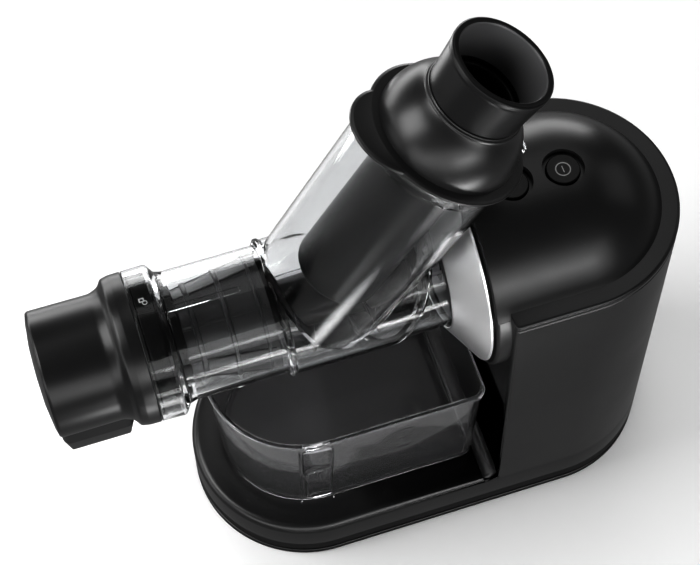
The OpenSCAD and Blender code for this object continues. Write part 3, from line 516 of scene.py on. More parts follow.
# ---------------------------------------------------------------- finishes
BLACK = moulded("satin_black_plastic", (0.0075, 0.0075, 0.0077), (0.0100, 0.0100, 0.0102), 0.29, 0.35,
                depth=0.010, specular=0.48)
COVER = moulded("cover_black_plastic", (0.0100, 0.0100, 0.0102), (0.0130, 0.0130, 0.0132), 0.29, 0.35,
                depth=0.010)
FEED = moulded("feed_black_plastic", (0.0110, 0.0110, 0.0112), (0.0150, 0.0150, 0.0152), 0.28, 0.34,
               depth=0.008, specular=0.42)
CAP = moulded("pulp_cap_plastic", (0.0065, 0.0065, 0.0067), (0.0090, 0.0090, 0.0092), 0.29, 0.34,
              depth=0.010, specular=0.36)
PUSHER = moulded("pusher_black_plastic", (0.0080, 0.0080, 0.0082), (0.0110, 0.0110, 0.0112), 0.28, 0.34,
                 depth=0.008, specular=0.2)
# painted sheen: the funnel lining's pale grey stands in for the soft light on the funnel's inner wall
FUNNEL_PAINTED_SHEEN = moulded("funnel_painted_sheen_plastic", (0.085, 0.085, 0.087), (0.11, 0.11, 0.112), 0.46, 0.56,
                 depth=0.02, specular=0.5)
GLOSS = moulded("gloss_black_plastic", (0.010, 0.010, 0.010), (0.014, 0.014, 0.014), 0.22, 0.28,
                depth=0.006, specular=0.18)
SILVER = moulded("satin_silver_lacquer", (0.72, 0.72, 0.725), (0.78, 0.78, 0.785), 0.30, 0.36,
                 depth=0.004, metallic=0.92, coat=0.25, dust=0.0)
RUBBER = moulded("matt_rubber", (0.02, 0.02, 0.02), (0.03, 0.03, 0.03), 0.7, 0.85, depth=0.05)
SILICONE = moulded("dark_silicone", (0.03, 0.03, 0.03), (0.045, 0.045, 0.045), 0.5, 0.6, depth=0.02)
STEEL = moulded("ground_steel", (0.45, 0.45, 0.46), (0.6, 0.6, 0.61), 0.25, 0.4, depth=0.004,
                metallic=1.0, dust=0.0, stretch=(1, 12, 12), specular=0.5)
ZINC = moulded("zinc_plating", (0.42, 0.42, 0.44), (0.55, 0.55, 0.57), 0.25, 0.45, depth=0.006,
               metallic=1.0, specular=0.5)
CAST = moulded("die_cast_alloy", (0.30, 0.30, 0.31), (0.42, 0.42, 0.43), 0.4, 0.6, depth=0.05,
               grain=700.0, metallic=1.0, specular=0.5)
LAMINATED = moulded("laminated_iron", (0.08, 0.08, 0.085), (0.14, 0.14, 0.145), 0.4, 0.6, depth=0.03,
                    metallic=0.8, stretch=(24, 1, 1), specular=0.5)
COPPER = moulded("enamelled_copper", (0.35, 0.12, 0.05), (0.48, 0.19, 0.08), 0.25, 0.4, depth=0.06,
                 grain=500.0, metallic=0.9, specular=0.5)
BRONZE = moulded("sintered_bronze", (0.32, 0.21, 0.10), (0.42, 0.29, 0.15), 0.4, 0.6, depth=0.04,
                 metallic=1.0, specular=0.5)
NYLON = moulded("natural_nylon", (0.62, 0.60, 0.52), (0.70, 0.68, 0.60), 0.35, 0.5, depth=0.02,
                specular=0.5)
BOARD = moulded("solder_mask", (0.01, 0.07, 0.03), (0.015, 0.10, 0.045), 0.2, 0.3, depth=0.01,
                specular=0.5)
AUGER = moulded("auger_plastic", (0.008, 0.008, 0.0084), (0.012, 0.012, 0.0125), 0.28, 0.38,
                depth=0.02, specular=0.15)
SCREEN = moulded("screen_plastic", (0.030, 0.030, 0.031), (0.044, 0.044, 0.045), 0.25, 0.35,
                 depth=0.02, specular=0.5)
MARK = moulded("printed_mark", (0.30, 0.30, 0.30), (0.36, 0.36, 0.36), 0.45, 0.55, depth=0.004)
DRUM_CLEAR = clear("clear_drum_plastic", (0.76, 0.765, 0.77), ripple=0.002)
CONTAINER_CLEAR = clear("smoked_container_plastic", (0.70, 0.70, 0.71), ripple=0.0015, haze=0.02)

CAD_FINISHES = {
    "bottom_plate": BLACK, "rubber_feet": RUBBER, "plate_screws": ZINC, "body_shell": BLACK,
    "top_cover": COVER, "cover_screws": ZINC, "nose_plate": GLOSS, "bezel_ring": SILVER,
    "start_button": GLOSS, "release_button": GLOSS, "start_spring": STEEL, "release_spring": STEEL,
    "control_board": BOARD, "cord_gland": RUBBER, "motor_stator": LAMINATED, "motor_coils": COPPER,
    "motor_bracket": ZINC, "motor_bridge": ZINC, "chassis_screws": ZINC, "rotor_core": LAMINATED,
    "rotor_shaft": STEEL, "cooling_fan": NYLON, "gear_case": CAST, "gear_case_cover": CAST,
    "case_screws": ZINC, "idler_shaft": STEEL, "idler_wheel": NYLON, "idler_pinion": STEEL,
    "output_wheel": NYLON, "drive_shaft": STEEL, "shaft_bearings": STEEL, "idler_bushes": BRONZE,
    "shaft_seal": SILICONE, "drum": DRUM_CLEAR, "drum_seal": SILICONE, "auger": AUGER,
    "screen": SCREEN, "screen_holder": GLOSS, "end_cap": CAP, "cap_seal": SILICONE,
    "chute_lid": FEED, "pusher": FEED, "small_pusher": FEED, "juice_container": CONTAINER_CLEAR,
}
for node_name, finish in CAD_FINISHES.items():
    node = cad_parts[node_name]
    if not node.material_slots:
        node.data.materials.append(finish)
    for material_slot in node.material_slots:
        material_slot.material = finish


# ---------------------------------------------------------------- base and housing
def build_bottom_plate():
    """Plate under the base, with a round socket for each foot."""
    plate = lofted(footprint, [(BASE_R - 3.0, PLATE_LOW), (BASE_R - 1.0, PLATE_LOW, 0.8),
                               (BASE_R, PLATE_LOW + 1.0, 1.0), (BASE_R, PLATE_TOP, 1.2), (GAP_R, PLATE_TOP)])
    plate = cut(plate, *[rod(FOOT_R + 0.2, 0, FOOT_TOP + 0.2, upright(x, y)) for x, y in FEET])
    return finished("bottom_plate_skin", plate, BLACK, "housing", ["bottom_plate"])


def build_feet():
    """Rubber feet, hollowed a little underneath."""
    feet = bmesh.new()
    for x, y in FEET:
        foot = turned([(0, 0.4), (7.0, 0.4), (7.6, 0.0, 0.3), (10.2, 0.0, 0.6), (FOOT_R, 1.0, 0.4),
                       (FOOT_R, FOOT_TOP), (0, FOOT_TOP)], upright(x, y), steps=48)
        added(feet, foot)
    return finished("grip_feet", feet, RUBBER, "housing", ["rubber_feet"])


def front_fillet():
    """Hollow fillet between the top of the base and the flat front of the housing."""
    fillet_r, half_width, overlap = 9.0, 79.3, 1.5
    centre_x, centre_z = FRONT_X - fillet_r, BASE_TOP + fillet_r
    buried = BASE_TOP - 1.0
    side = [(FRONT_X + overlap, buried), (FRONT_X + overlap, centre_z + 1.0), (FRONT_X, centre_z)]
    side += arc(centre_x, centre_z, fillet_r, 360, 270, 12)[1:-1]
    side += [(centre_x, BASE_TOP), (centre_x, buried)]
    bm = bmesh.new()
    profile = bm.faces.new([bm.verts.new((x, -half_width, z)) for x, z in side])
    grown = bmesh.ops.extrude_face_region(bm, geom=[profile])["geom"]
    far_side = [item for item in grown if isinstance(item, bmesh.types.BMVert)]
    bmesh.ops.translate(bm, vec=(0, 2 * half_width, 0), verts=far_side)
    rims = [edge for edge in bm.edges if abs(edge.verts[0].co.y - edge.verts[1].co.y) < 0.01
            and all(vert.co.x < FRONT_X + 1.0 and vert.co.z > BASE_TOP - 0.5 for vert in edge.verts)]
    bmesh.ops.bevel(bm, geom=rims, offset=5.0, segments=4, affect="EDGES", profile=0.5, material=-1)
    bmesh.ops.recalc_face_normals(bm, faces=bm.faces)
    return bm


def air_slots():
    """Upright slots through the back of the housing."""
    pitch, half_width, low, high = 6.0, 1.2, 117.25, 151.25
    return [block((150, i * pitch - half_width, low), (175, i * pitch + half_width, high), 1.0, 2)
            for i in range(-5, 6)]


def build_body_shell():
    """Low base and tapered motor housing, with the lower half of the nose."""
    base = lofted(footprint, [
        (74.0, PLATE_TOP + 0.2), (GAP_R, PLATE_TOP + 0.2), (GAP_R, 9.6), (BASE_R - 1.4, 9.6, 0.5),
        (BASE_R, 11.2, 0.9), (BASE_R - 0.4, BASE_TOP, 6.0), (66.5, BASE_TOP)])
    tower = lofted(housing_outline, [(79.4, 30.0), (79.6, BASE_TOP - 1.0), (76.6, SEAM_Z - 1.0, 0.5),
                                     (75.9, SEAM_Z - 0.25)])
    skin = cut(joined(base, tower, front_fillet()), *air_slots())
    nose_depth = 14.0
    nose = turned([(NOSE_BORE_R, 0.0), (71.0, 0.0, 0.6), (DOME_R, 1.6, 1.2), (DOME_R, nose_depth),
                   (NOSE_BORE_R, nose_depth)], drum_axis(NOSE_X), ring=True)
    upper_half = block((0, -90, SEAM_Z - 0.2), (60, 90, 330))
    added(skin, cut(nose, upper_half))
    return finished("housing_skin", skin, BLACK, "housing", ["body_shell"])


# ---------------------------------------------------------------- top cover, bezel and buttons
def at_x(edge, x):
    """Whether an edge lies in the plane at x."""
    return all(abs(vert.co.x - x) < 0.01 for vert in edge.verts)


def drawn_forward(bm, border, x, r):
    """Extrudes the open border to the plane at x and the radius r round the drum's axis."""
    grown = bmesh.ops.extrude_edge_only(bm, edges=border)["geom"]
    for item in grown:
        if isinstance(item, bmesh.types.BMVert):
            share = r / math.hypot(item.co.y, item.co.z - AXIS_Z)
            item.co = (x, item.co.y * share, AXIS_Z + (item.co.z - AXIS_Z) * share)
    return [item for item in grown if isinstance(item, bmesh.types.BMEdge) and at_x(item, x)]


def dome_mesh():
    """Quarter ball at the motor end, drawn forward to the nose and its rounded lip."""
    start = math.degrees(math.asin((SEAM_Z - AXIS_Z + 0.1) / DOME_R))
    dome = bmesh.new()
    verts = [dome.verts.new((END_X, -r, z)) for r, z in arc(0, AXIS_Z, DOME_R, start, 90, 40)]
    edges = [dome.edges.new(pair) for pair in zip(verts, verts[1:])]
    bmesh.ops.spin(dome, geom=verts + edges, cent=(END_X, 0, 0), axis=(0, 0, 1), angle=math.pi, steps=72,
                   use_merge=False, use_duplicate=False)
    bmesh.ops.remove_doubles(dome, verts=dome.verts, dist=0.001)
    border = [edge for edge in dome.edges if edge.is_boundary and at_x(edge, END_X)]
    for x, r in ((END_X - 30.0, DOME_R), (NOSE_X + 1.6, DOME_R), (NOSE_X + 0.8, DOME_R - 0.15),
                 (NOSE_X + 0.25, DOME_R - 0.7), (NOSE_X, DOME_R - 1.6), (NOSE_X, NOSE_BORE_R + 0.5),
                 (NOSE_X + 8.0, NOSE_BORE_R)):
        border = drawn_forward(dome, border, x, r)
    bmesh.ops.holes_fill(dome, edges=[edge for edge in dome.edges if edge.is_boundary], sides=0)
    bmesh.ops.recalc_face_normals(dome, faces=dome.faces)
    return dome


def button_well(x):
    """Round well for a button, with a wider flat dish at its mouth."""
    well_r, dish_r, above = BUTTON_R + 0.35, 13.0, 330.0
    floor_z, dish_z = BUTTON_TOP - 28.0, BUTTON_TOP - 2.6
    return turned([(0, floor_z), (well_r, floor_z), (well_r, dish_z), (dish_r, dish_z), (dish_r, above),
                   (0, above)], upright(x), steps=96)


def build_top_cover():
    """Dome with its nose, on a flat ledge."""
    ledge = lofted(housing_outline, [
        (72.0, SEAM_Z), (LEDGE_R - 0.6, SEAM_Z, 0.3), (LEDGE_R, SEAM_Z + 0.6, 0.5),
        (LEDGE_R, LEDGE_TOP, 3.8), (67.0, LEDGE_TOP)])
    added(ledge, cut(dome_mesh(), button_well(START_X), button_well(RELEASE_X)))
    return finished("cover_skin", ledge, COVER, "housing", ["top_cover"])


def build_bezel():
    """Flared silver ring between nose and drum."""
    neck_r, rim_x = 42.4, 20.4
    bezel = turned([
        (neck_r, BEZEL_X + 0.4), (neck_r + 0.5, BEZEL_X, 0.3), (neck_r + 1.8, BEZEL_X + 0.2, 0.5),
        (BEZEL_R - 0.5, rim_x - 1.2, 0.5), (BEZEL_R, rim_x), (BEZEL_R - 2.1, rim_x),
        (BEZEL_R - 2.6, rim_x - 1.4), (neck_r + 1.2, BEZEL_X + 3.0), (neck_r, BEZEL_X + 3.0)],
        drum_axis(), ring=True)
    return finished("bezel_skin", bezel, SILVER, "housing", ["bezel_ring"], sharp=40)


def build_button(name, x, body):
    """A button with a dished face, and the stem that stands in its spring."""
    skirt_z = BUTTON_TOP - 7.0
    stem_z = cad_mm(name + "_spring", LOW, Z) + 3.5
    cap = turned([
        (0, skirt_z + 3), (8.4, skirt_z + 3), (8.4, skirt_z), (10.2, skirt_z), (BUTTON_R, skirt_z + 0.3),
        (BUTTON_R, BUTTON_TOP - 0.9, 0.5), (9.9, BUTTON_TOP - 0.1, 0.6), (7.0, BUTTON_TOP - 0.5, 1.5),
        (0, BUTTON_TOP - 0.7)], upright(x), steps=96)
    added(cap, rod(2.5, stem_z, BUTTON_TOP - 3.3, upright(x), steps=32))
    return finished(name + "_button_cap", cap, GLOSS, body, [name + "_button"])


def build_start_mark():
    """Ring with a bar, printed in the dish of the start button."""
    face = BUTTON_TOP - 0.62
    place = upright(START_X)
    mark = turned([(4.1, face + 0.13), (4.8, face + 0.15), (4.8, face - 0.2), (4.1, face - 0.2)], place,
                  ring=True)
    added(mark, block((-0.3, -2.3, face - 0.25), (0.3, 2.3, face + 0.03), place=place))
    return finished("start_button_mark", mark, MARK, "start_key")


# ---------------------------------------------------------------- drum, strainer and pulp cap
def before_chute_wall(reach):
    """Block on the cap side of a plane along the chute, at reach towards the motor."""
    return block((reach - 300, -100, -300), (reach, 100, 300), place=chute_axis())


def chute_wall(foot_r, foot, draft):
    """Profile points up the chute, foot_r wide at the height foot and widening by draft."""
    return [(foot_r + (s - foot) * draft, s) for s in CHUTE_LOOPS]


def drum_form():
    """Outside of the drum: collar, tube, boot round the chute's foot, chute, lug and juice outlet."""
    tube = turned(
        [(0, COLLAR_X), (47.6, COLLAR_X, 0.6), (48.0, -168.5, 3.0), (42.2, -164.6, 1.4), (40.9, -160.0, 1.0)]
        + [(DRUM_R, x) for x in DRUM_LOOPS]
        + [(40.4, 4.0), (40.0, DRUM_END_X, 0.8), (0, DRUM_END_X)], drum_axis())
    boot = turned(
        [(0, -101.2), (42.8, -101.2, 0.8), (44.5, -100.0, 1.0), (44.5, -98.0, 1.0), (43.3, -96.6, 1.0)]
        + [(BOOT_R, x) for x in DRUM_LOOPS if x > -96.0] + [(BOOT_R, -4.0), (0, -4.0)], drum_axis())
    boot = combined(boot, before_chute_wall(42.0), "INTERSECT")
    chute = turned(
        [(0, 8.0)] + chute_wall(43.9, 8.0, 0.0127)
        + [(47.3, 161.5, 0.8), (47.3, 166.2, 0.8), (0, CHUTE_LEN - 0.1)], chute_axis(0, CHUTE_SHIFT))
    lug = lofted(box_outline(40.0, 55.5, -9.0, 9.0, 3.0),
                 [(-0.6, 162.2), (0, 162.8), (0, 166.2), (-0.6, 166.8)], chute_axis())
    outlet = turned([(0, 162.2), (11.6, 162.2, 0.4), (12.0, 164.0, 0.4), (12.0, 205.0), (0, 205.0)],
                    upright(OUTLET_X), steps=64)
    return joined(tube, boot, chute, lug, outlet)


def drum_hollows():
    """Bore of the drum, hollow of the boot, throat of the chute and drain."""
    bore = turned(
        [(0, -190.0), (45.0, -190.0), (45.0, -169.0, 1.0), (DRUM_BORE_R, -168.0)]
        + [(DRUM_BORE_R, x) for x in DRUM_LOOPS] + [(DRUM_BORE_R, 30.0), (0, 30.0)], drum_axis())
    boot = turned(
        [(0, -97.0), (40.9, -97.0, 1.0), (BOOT_BORE_R, -96.0, 1.0)]
        + [(BOOT_BORE_R, x) for x in DRUM_LOOPS if -94.0 < x < -12.0]
        + [(BOOT_BORE_R, -10.0), (0, -10.0)], drum_axis())
    boot = combined(boot, before_chute_wall(38.6), "INTERSECT")
    throat = turned(
        [(0, 4.0), (40.6, 4.0)] + chute_wall(40.6, 4.0, 0.0147)
        + [(43.0, CHUTE_LEN + 0.5), (43.0, 180.0), (0, 180.0)], chute_axis(0, CHUTE_SHIFT))
    drain = rod(9.0, 150.0, 215.0, upright(OUTLET_X), steps=64)
    return bore, boot, throat, drain


def build_drum():
    """Clear drum and feed chute in one moulding, with a rail inside for the strainer."""
    rail = block((-164.0, -2.4, AXIS_Z + 36.7), (-119.0, 1.2, AXIS_Z + 39.0), 0.3, 2)
    moulding = joined(cut(drum_form(), *drum_hollows()), rail)
    drum = finished("clear_drum", moulding, DRUM_CLEAR, "drum", ["drum"], sharp=16)
    even_normals(drum)
    return drum


def build_lock_mark():
    """Small padlock printed on the collar."""
    flat = about_drum(-177.3, -6.6) @ upright(z=47.7)
    case = block((-1.7, -1.6, 0), (1.7, 1.4, 0.28), 0.1, 2, place=flat)
    mark = cut(case, block((-0.9, -0.9, -1), (0.9, 0.7, 1), place=flat))
    shackle = turned([(1.1, 0.05), (1.1, 0.28), (1.6, 0.28), (1.6, 0.05)], flat @ upright(1.6, -2.4),
                     steps=32, ring=True)
    added(mark, shackle)
    return finished("lock_mark", mark, MARK, "drum")


def build_strainer():
    """Cone with three hoops and eight ribs."""
    cone = turned([
        (25.3, -162.2), (27.0, -162.2, 0.4), (28.6, -151.9),
        (30.5, -151.5, 0.5), (30.5, -148.8, 0.5), (29.3, -148.4), (32.0, -131.7),
        (34.1, -131.3, 0.6), (34.1, -128.9, 0.6), (32.6, -128.5), (35.3, -111.6),
        (36.8, -111.3, 0.4), (36.8, -109.6, 0.4), (35.8, -109.2), (36.6, -104.2), (35.0, -104.2)],
        drum_axis(), ring=True)
    cone_lean = math.degrees(math.atan(9.6 / 58))
    for i in range(8):
        place = about_drum(-133.0, 22.5 + 45 * i) @ upright(z=31.9)
        place = place @ Matrix.Rotation(math.radians(-cone_lean), 4, "Y")
        cone = joined(cone, block((-26.0, -1.1, -0.9), (27.0, 1.1, 0.6), 0.3, 2, place=place))
    return finished("strainer_cone", cone, SCREEN, "drum", ["screen"], sharp=34)


def build_strainer_holder():
    """Skirt under the clear collar with a shallow pocket, and a hub on three arms."""
    front = -181.9
    skirt = turned([
        (27.6, front), (44.2, front, 0.3), (44.9, -181.2, 0.4), (44.9, -171.3, 0.4), (37.4, -171.0, 0.4),
        (37.0, -170.6), (37.0, -167.2, 0.4), (31.6, -167.0, 0.4), (31.5, -158.6, 0.3), (29.0, -158.6),
        (28.9, -163.0), (27.6, -163.0)], drum_axis(), ring=True)
    pocket = turned([(43.6, -180.0), (43.6, -173.0, 0.3), (46.0, -173.0), (46.0, -180.0)], drum_axis(),
                    ring=True)
    reach = block((-200, -70, AXIS_Z - 25), (-150, 0, AXIS_Z + 38.5))
    skirt = cut(skirt, combined(pocket, reach, "INTERSECT"))
    hub = turned([(HUB_R - 3.0, front), (HUB_R - 0.4, front, 0.3), (HUB_R, front + 0.5), (HUB_R, -172.0),
                  (HUB_R - 3.0, -172.0)], drum_axis(), steps=48, ring=True)
    arms = [block((-4.9, -1.5, HUB_R - 1.0), (5.0, 1.5, 28.0), 0.3, 2, place=about_drum(-177.0, angle))
            for angle in (30, 150, 270)]
    added(skirt, hub, *arms)
    return finished("strainer_skirt", skirt, GLOSS, "drum", ["screen_holder"], sharp=34)


def build_end_cap():
    """Pulp cap: barrel with a neck and a flared rim, and a rectangular outlet hanging from it."""
    inside_r, inside_x, web_x = 37.0, -243.0, -193.0
    barrel = turned([
        (0, CAP_X), (20, -249.2), (34, -247.4), (39.0, -246.2, 0.8), (40.0, -244.6, 0.8),
        (39.8, -206.0, 10.0), (42.2, -200.0, 5.0), (46.6, -197.0, 3.0), (47.6, -192.0, 4.0),
        (47.8, COLLAR_X - 0.4, 0.8), (44.0, COLLAR_X - 0.3), (44.0, -192.0), (27.5, -192.0), (27.5, web_x),
        (inside_r, web_x), (inside_r, inside_x), (0, inside_x)], drum_axis())
    outlet = lofted(box_outline(-242.5, -203.5, -26.0, 26.0, 1.6),
                    [(-0.8, 174.0), (0, 174.7, 0.5), (3.4, 192.0, 4.0), (3.4, 222.0)])
    passage = lofted(box_outline(-240.0, -207.0, -23.0, 23.0, 3.0), [(0, 160.0), (0, 228.0)])
    cap = cut(joined(barrel, outlet), passage, rod(inside_r, inside_x, web_x, drum_axis()))
    return finished("pulp_cap", cap, CAP, "cap", ["end_cap"], sharp=34)


# ---------------------------------------------------------------- lid and pushers
def build_chute_lid():
    """Round flange with a thumb lobe, a bell with a neck above it, and a plug below."""
    flange = turned([(0, 0.0), (48.8, 0.0), (49.5, 0.7, 0.4), (49.5, 2.2, 0.6), (47.8, 2.8, 0.6), (0, 2.8)],
                    chute_axis(LID_FOOT))
    lobe = turned([(0, 0.02), (28.8, 0.02, 0.4), (29.5, 0.7, 0.4), (29.5, 2.2, 0.6), (27.8, 2.78, 0.6),
                   (0, 2.78)], chute_axis(LID_FOOT, -33.0))
    flange = cut(joined(flange, lobe), rod(LID_NECK_R, -5, 10, chute_axis(LID_FOOT)))
    angles = [math.radians(angle) for angle in range(3, 44, 3)]
    flattening = 0.96
    bell = turned(
        [(BELL_R, 2.6), (BELL_R, 4.4, 0.8)]
        + [(BELL_R * math.cos(a), 4.6 + BELL_R * math.sin(a) * flattening) for a in angles]
        + [(30.6, 34.0, 1.0), (30.4, 35.6, 0.8), (29.4, 36.0, 0.5), (29.2, 36.8, 0.4),
           (LID_NECK_R + 0.1, 37.0, 0.4), (LID_NECK_R - 0.4, 36.2), (LID_NECK_R - 0.4, 2.0)],
        chute_axis(LID_FOOT - 2.2), ring=True)
    plug = turned([(40.2, -6.0), (42.4, -6.0, 0.5), (42.7, 0.5), (40.2, 0.5)],
                  chute_axis(LID_FOOT, CHUTE_SHIFT), ring=True)
    added(flange, bell, plug)
    return finished("lid_with_bell", flange, FEED, "lid", ["chute_lid"], sharp=34)


def auger_room(grow):
    """The room of the auger below the pushers, grown all round."""
    return rod(AUGER_ROOM_R + grow, -140.0, 20.0, drum_axis())


def hollowed(tube, bore_r, low, high, saddle, floor):
    """A pusher bored from its mouth, its foot a saddle over the auger with a floor of even thickness."""
    bore = cut(rod(bore_r, low, high, chute_axis()), auger_room(saddle + floor))
    return cut(tube, bore, auger_room(saddle))


def build_pusher():
    """Hollow pusher with a collar line and a flared funnel at its mouth."""
    tube = turned([
        (0, 30.0), (24.0, 30.0, 1.5), (PUSHER_R, 34.0, 4.0), (PUSHER_R, 201.8), (28.7, 202.3, 0.3),
        (28.9, 203.0, 2.0), (31.0, 228.0, 6.0), (31.4, 229.6, 0.6), (31.5, 232.2, 1.0), (30.4, 233.0, 0.6),
        (28.0, 233.0, 0.5), (27.4, 231.6, 0.6), (25.0, 207.0, 2.0), (PUSHER_BORE_R, 206.0), (0, 206.0)],
        chute_axis())
    tube = hollowed(tube, PUSHER_BORE_R, 33.0, 206.5, 0.0, 2.6)
    return finished("pusher_tube", tube, PUSHER, "pusher", ["pusher"], sharp=34)


def build_funnel_lining():
    """Pale skin inside the pusher's funnel, its grey a painted sheen that stands in for the soft light on the
    funnel's inner wall.
    """
    lining = turned([
        (24.75, 207.2), (24.85, 208.5), (27.25, 231.4, 0.4), (27.7, 232.4, 0.2), (27.95, 232.3),
        (27.45, 231.4), (25.05, 207.2)], chute_axis(), ring=True)
    return finished("funnel_painted_sheen_lining", lining, FUNNEL_PAINTED_SHEEN, "pusher")


def build_small_pusher():
    """Cup-shaped inner pusher with a rounded rim."""
    tube = turned([
        (0, 44.8), (SMALL_R, 44.8), (SMALL_R, 203.8, 0.8), (23.4, 205.0, 0.6), (22.0, 205.0, 0.5),
        (21.0, 203.4), (SMALL_BORE_R, 200.0), (0, 200.0)], chute_axis())
    tube = hollowed(tube, SMALL_BORE_R, 47.8, 200.5, 2.8, 3.0)
    return finished("small_pusher_tube", tube, PUSHER, "small_pusher", ["small_pusher"],
                    sharp=34)


# ---------------------------------------------------------------- juice container
def flattened(place, depth):
    """The place with its own Y drawn in to the share depth."""
    return place @ Matrix.Diagonal((1, depth, 1, 1))


def with_finger_recess(tub, lean):
    """Adds the grip: a backing behind the wall, and two grooves cut into it, one above the other."""
    grip = upright(GRIP_X, -60.8, GRIP_Z) @ lean
    upper = flattened(grip, 0.44)
    backing = joined(
        turned([(0, -6.6), (8.0, -5.6, 3.0), (12.0, 2.0, 4.0), (12.0, 43.0), (0, 43.0)], upper, steps=64),
        rod(12.0, -47.0, 42.0, flattened(grip, 0.36), steps=64))
    within_wall = lofted(container_outline, [(58.6, 45.0), (63.0, 156.0)])
    tub = joined(tub, combined(backing, within_wall, "INTERSECT"))
    upper_groove = turned([(0, -5.0), (7.0, -4.0, 3.0), (10.5, 3.0, 4.0), (10.5, 41.4, 1.0), (0, 41.6)],
                          upper, steps=64)
    lower_groove = turned([(0, -45.0), (10.5, -44.0, 1.0), (10.5, 20.0), (0, 20.0)],
                          flattened(upright(y=0.4) @ grip, 0.20), steps=64)
    return cut(tub, upper_groove, lower_groove)


def scale_marks():
    """Level scale: four marks on the front wall, every other one longer."""
    marks = []
    for k in range(4):
        z = 92.0 + 15.0 * k
        wall_y = -(59.4 + (z - 53.0) * TUB_DRAFT)
        end_x = -28.5 if k % 2 else -31.0
        marks.append(block((-36.0, wall_y - 0.35, z - 0.4), (end_x, wall_y + 0.4, z + 0.4)))
    return marks


def build_container():
    """Thin drafted tub with a lip, a foot step, a finger recess between two ridges and a level scale."""
    tub = lofted(container_outline, [
        (56.6, 45.6), (57.2, 45.6, 0.4), (57.4, 51.2, 0.4), (59.4, 52.6, 0.5), (63.4, 152.6, 0.6),
        (65.2, 153.6, 0.6), (65.2, 156.8, 0.5), (63.4, 157.0, 0.4), (62.1, 156.2, 0.4), (61.5, 152.0, 0.6),
        (57.0, 54.4, 3.0), (50.0, 51.6)])
    lean = Matrix.Rotation(math.atan(TUB_DRAFT), 4, "X")
    tub = with_finger_recess(tub, lean)
    ridges = [block((-0.6, -0.9, -52.0), (0.6, 0.8, 42.0), 0.3, 2, place=upright(x, y, GRIP_Z) @ lean)
              for x, y in ((-104.0, -57.9), (-82.0, -61.1))]
    lip_tab = block((GRIP_X - 8.0, -65.2, 153.4), (GRIP_X + 4.0, -62.8, 157.3), 0.5, 2)
    tub = joined(tub, *ridges, *scale_marks(), lip_tab)
    return finished("juice_tub", tub, CONTAINER_CLEAR, "container", ["juice_container"])


build_bottom_plate()
build_feet()
build_body_shell()
build_top_cover()
build_bezel()
build_button("start", START_X, "start_key")
build_button("release", RELEASE_X, "release_key")
build_start_mark()
build_drum()
build_lock_mark()
build_strainer()
build_strainer_holder()
build_end_cap()
build_chute_lid()
build_pusher()
build_funnel_lining()
build_small_pusher()
build_container()


# ---------------------------------------------------------------- floor, light and camera, in metres
def build_floor():
    """Pale matt floor that mirror reflections don't show."""
    mesh = bpy.data.meshes.new("floor")
    bm = bmesh.new()
    bmesh.ops.create_grid(bm, x_segments=2, y_segments=2, size=4.0)
    bm.to_mesh(mesh)
    bm.free()
    floor = bpy.data.objects.new("floor", mesh)
    scene.collection.objects.link(floor)
    material = bpy.data.materials.new("pale_floor")
    material.use_nodes = True
    shader = material.node_tree.nodes["Principled BSDF"]
    shader.inputs["Base Color"].default_value = (0.63, 0.63, 0.63, 1)
    shader.inputs["Roughness"].default_value = 0.8
    shader.inputs["Specular IOR Level"].default_value = 0.2
    shader.inputs["Emission Color"].default_value = (1, 1, 1, 1)
    shader.inputs["Emission Strength"].default_value = 0.03
    mesh.materials.append(material)
    floor.visible_glossy = False


def softbox(name, place, target, size, radiance, shape="RECTANGLE"):
    """An area light of the given brightness that the camera doesn't see."""
    light = bpy.data.lights.new(name, "AREA")
    light.shape = shape
    light.size, light.size_y = size
    area = size[0] * size[1] * (math.pi / 4 if shape == "ELLIPSE" else 1.0)
    light.energy = radiance * math.pi * area
    lamp = bpy.data.objects.new(name, light)
    lamp.location = place
    lamp.rotation_euler = (Vector(target) - Vector(place)).to_track_quat("-Z", "Y").to_euler()
    lamp.visible_camera = False
    scene.collection.objects.link(lamp)


def floor_card(name, x, y, size, radiance, height=0.02, shape="RECTANGLE"):
    """A light that lies low over the floor and faces up, its width along X."""
    softbox(name, (x, y, height), (x, y + 0.001, 1.0), size, radiance, shape)


def floor_glow(name, x, y, size, radiance):
    """A soft-edged patch of light over the floor: four ellipses on top of each other."""
    for k in range(4):
        share = 0.55 + 0.25 * k
        floor_card("%s_%d" % (name, k), x, y, (size[0] * share, size[1] * share), radiance / 4,
                   0.02 + 0.002 * k, "ELLIPSE")


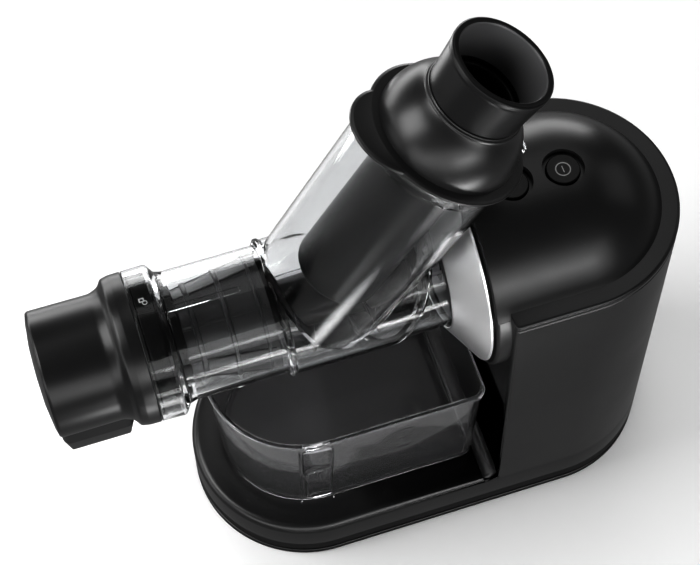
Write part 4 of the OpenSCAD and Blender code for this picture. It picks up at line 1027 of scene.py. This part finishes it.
def light_room():
    """Even pale room, soft lights on all sides, and cards for what the satin shells mirror."""
    world = bpy.data.worlds.new("studio")
    world.use_nodes = True
    background = world.node_tree.nodes["Background"]
    background.inputs["Color"].default_value = (1, 1, 1, 1)
    background.inputs["Strength"].default_value = 0.13
    scene.world = world
    softbox("left_light", (-1.08, 0.25, 1.25), (0.0, 0.0, 0.35), (0.88, 0.96), 10.5)
    floor_glow("cap_card", -0.195, -0.290, (0.10, 0.11), 15.0)
    floor_card("floor_card", 0.0, -0.10, (3.20, 3.20), 0.28)
    floor_glow("chute_card", -0.03, -0.42, (0.16, 0.14), 5.0)
    floor_glow("drum_card", 0.045, -0.595, (0.46, 0.17), 34.0)
    softbox("front_wall_light", (-0.10, -1.70, 0.92), (0.0, 0.0, 0.25), (3.00, 1.00), 4.2)
    softbox("rim_strip", (0.25, -1.60, 0.80), (0.0, 0.0, 0.05), (0.90, 0.16), 15.0)
    softbox("front_left_light", (-1.50, -0.92, 0.72), (0.0, 0.0, 0.1), (1.00, 0.60), 5.0)
    softbox("left_wall_light", (-1.70, 0.50, 0.30), (0.0, 0.0, 0.20), (1.60, 0.70), 4.0)
    softbox("right_light", (1.50, 0.20, 1.00), (0.0, 0.0, 0.25), (0.90, 0.90), 1.2)
    floor_card("back_card", -0.22, 0.60, (0.34, 0.24), 5.5)
    softbox("back_low_light", (0.0, 1.35, 0.30), (0.0, 0.0, 0.20), (2.40, 0.55), 6.4)
    softbox("overhead_light", (0.45, 0.75, 1.60), (0.0, 0.0, 0.1), (1.20, 1.20), 1.8)


def place_camera():
    """Camera high in front, a little towards the cap's side, with a slight roll."""
    place = (-0.2133, -0.5317, 1.2923)
    elevation, azimuth, roll = (math.radians(angle) for angle in (62.13, -17.16, -0.95))
    data = bpy.data.cameras.new("camera")
    data.sensor_width = 36.0
    data.lens = 98.51
    data.clip_start = 0.05
    data.clip_end = 20.0
    camera = bpy.data.objects.new("camera", data)
    back = Vector((math.sin(azimuth) * math.cos(elevation), -math.cos(azimuth) * math.cos(elevation),
                   math.sin(elevation)))
    right = Vector((math.cos(azimuth), math.sin(azimuth), 0))
    up = right.cross(-back)
    local_x = math.cos(roll) * right + math.sin(roll) * up
    local_y = -math.sin(roll) * right + math.cos(roll) * up
    turn = Matrix((local_x, local_y, back)).transposed().to_4x4()
    camera.matrix_world = Matrix.Translation(place) @ turn
    scene.collection.objects.link(camera)
    scene.camera = camera


build_floor()
light_room()
place_camera()
scene.view_settings.view_transform = "Standard"
scene.view_settings.gamma = 0.7

bpy.context.view_layer.update()
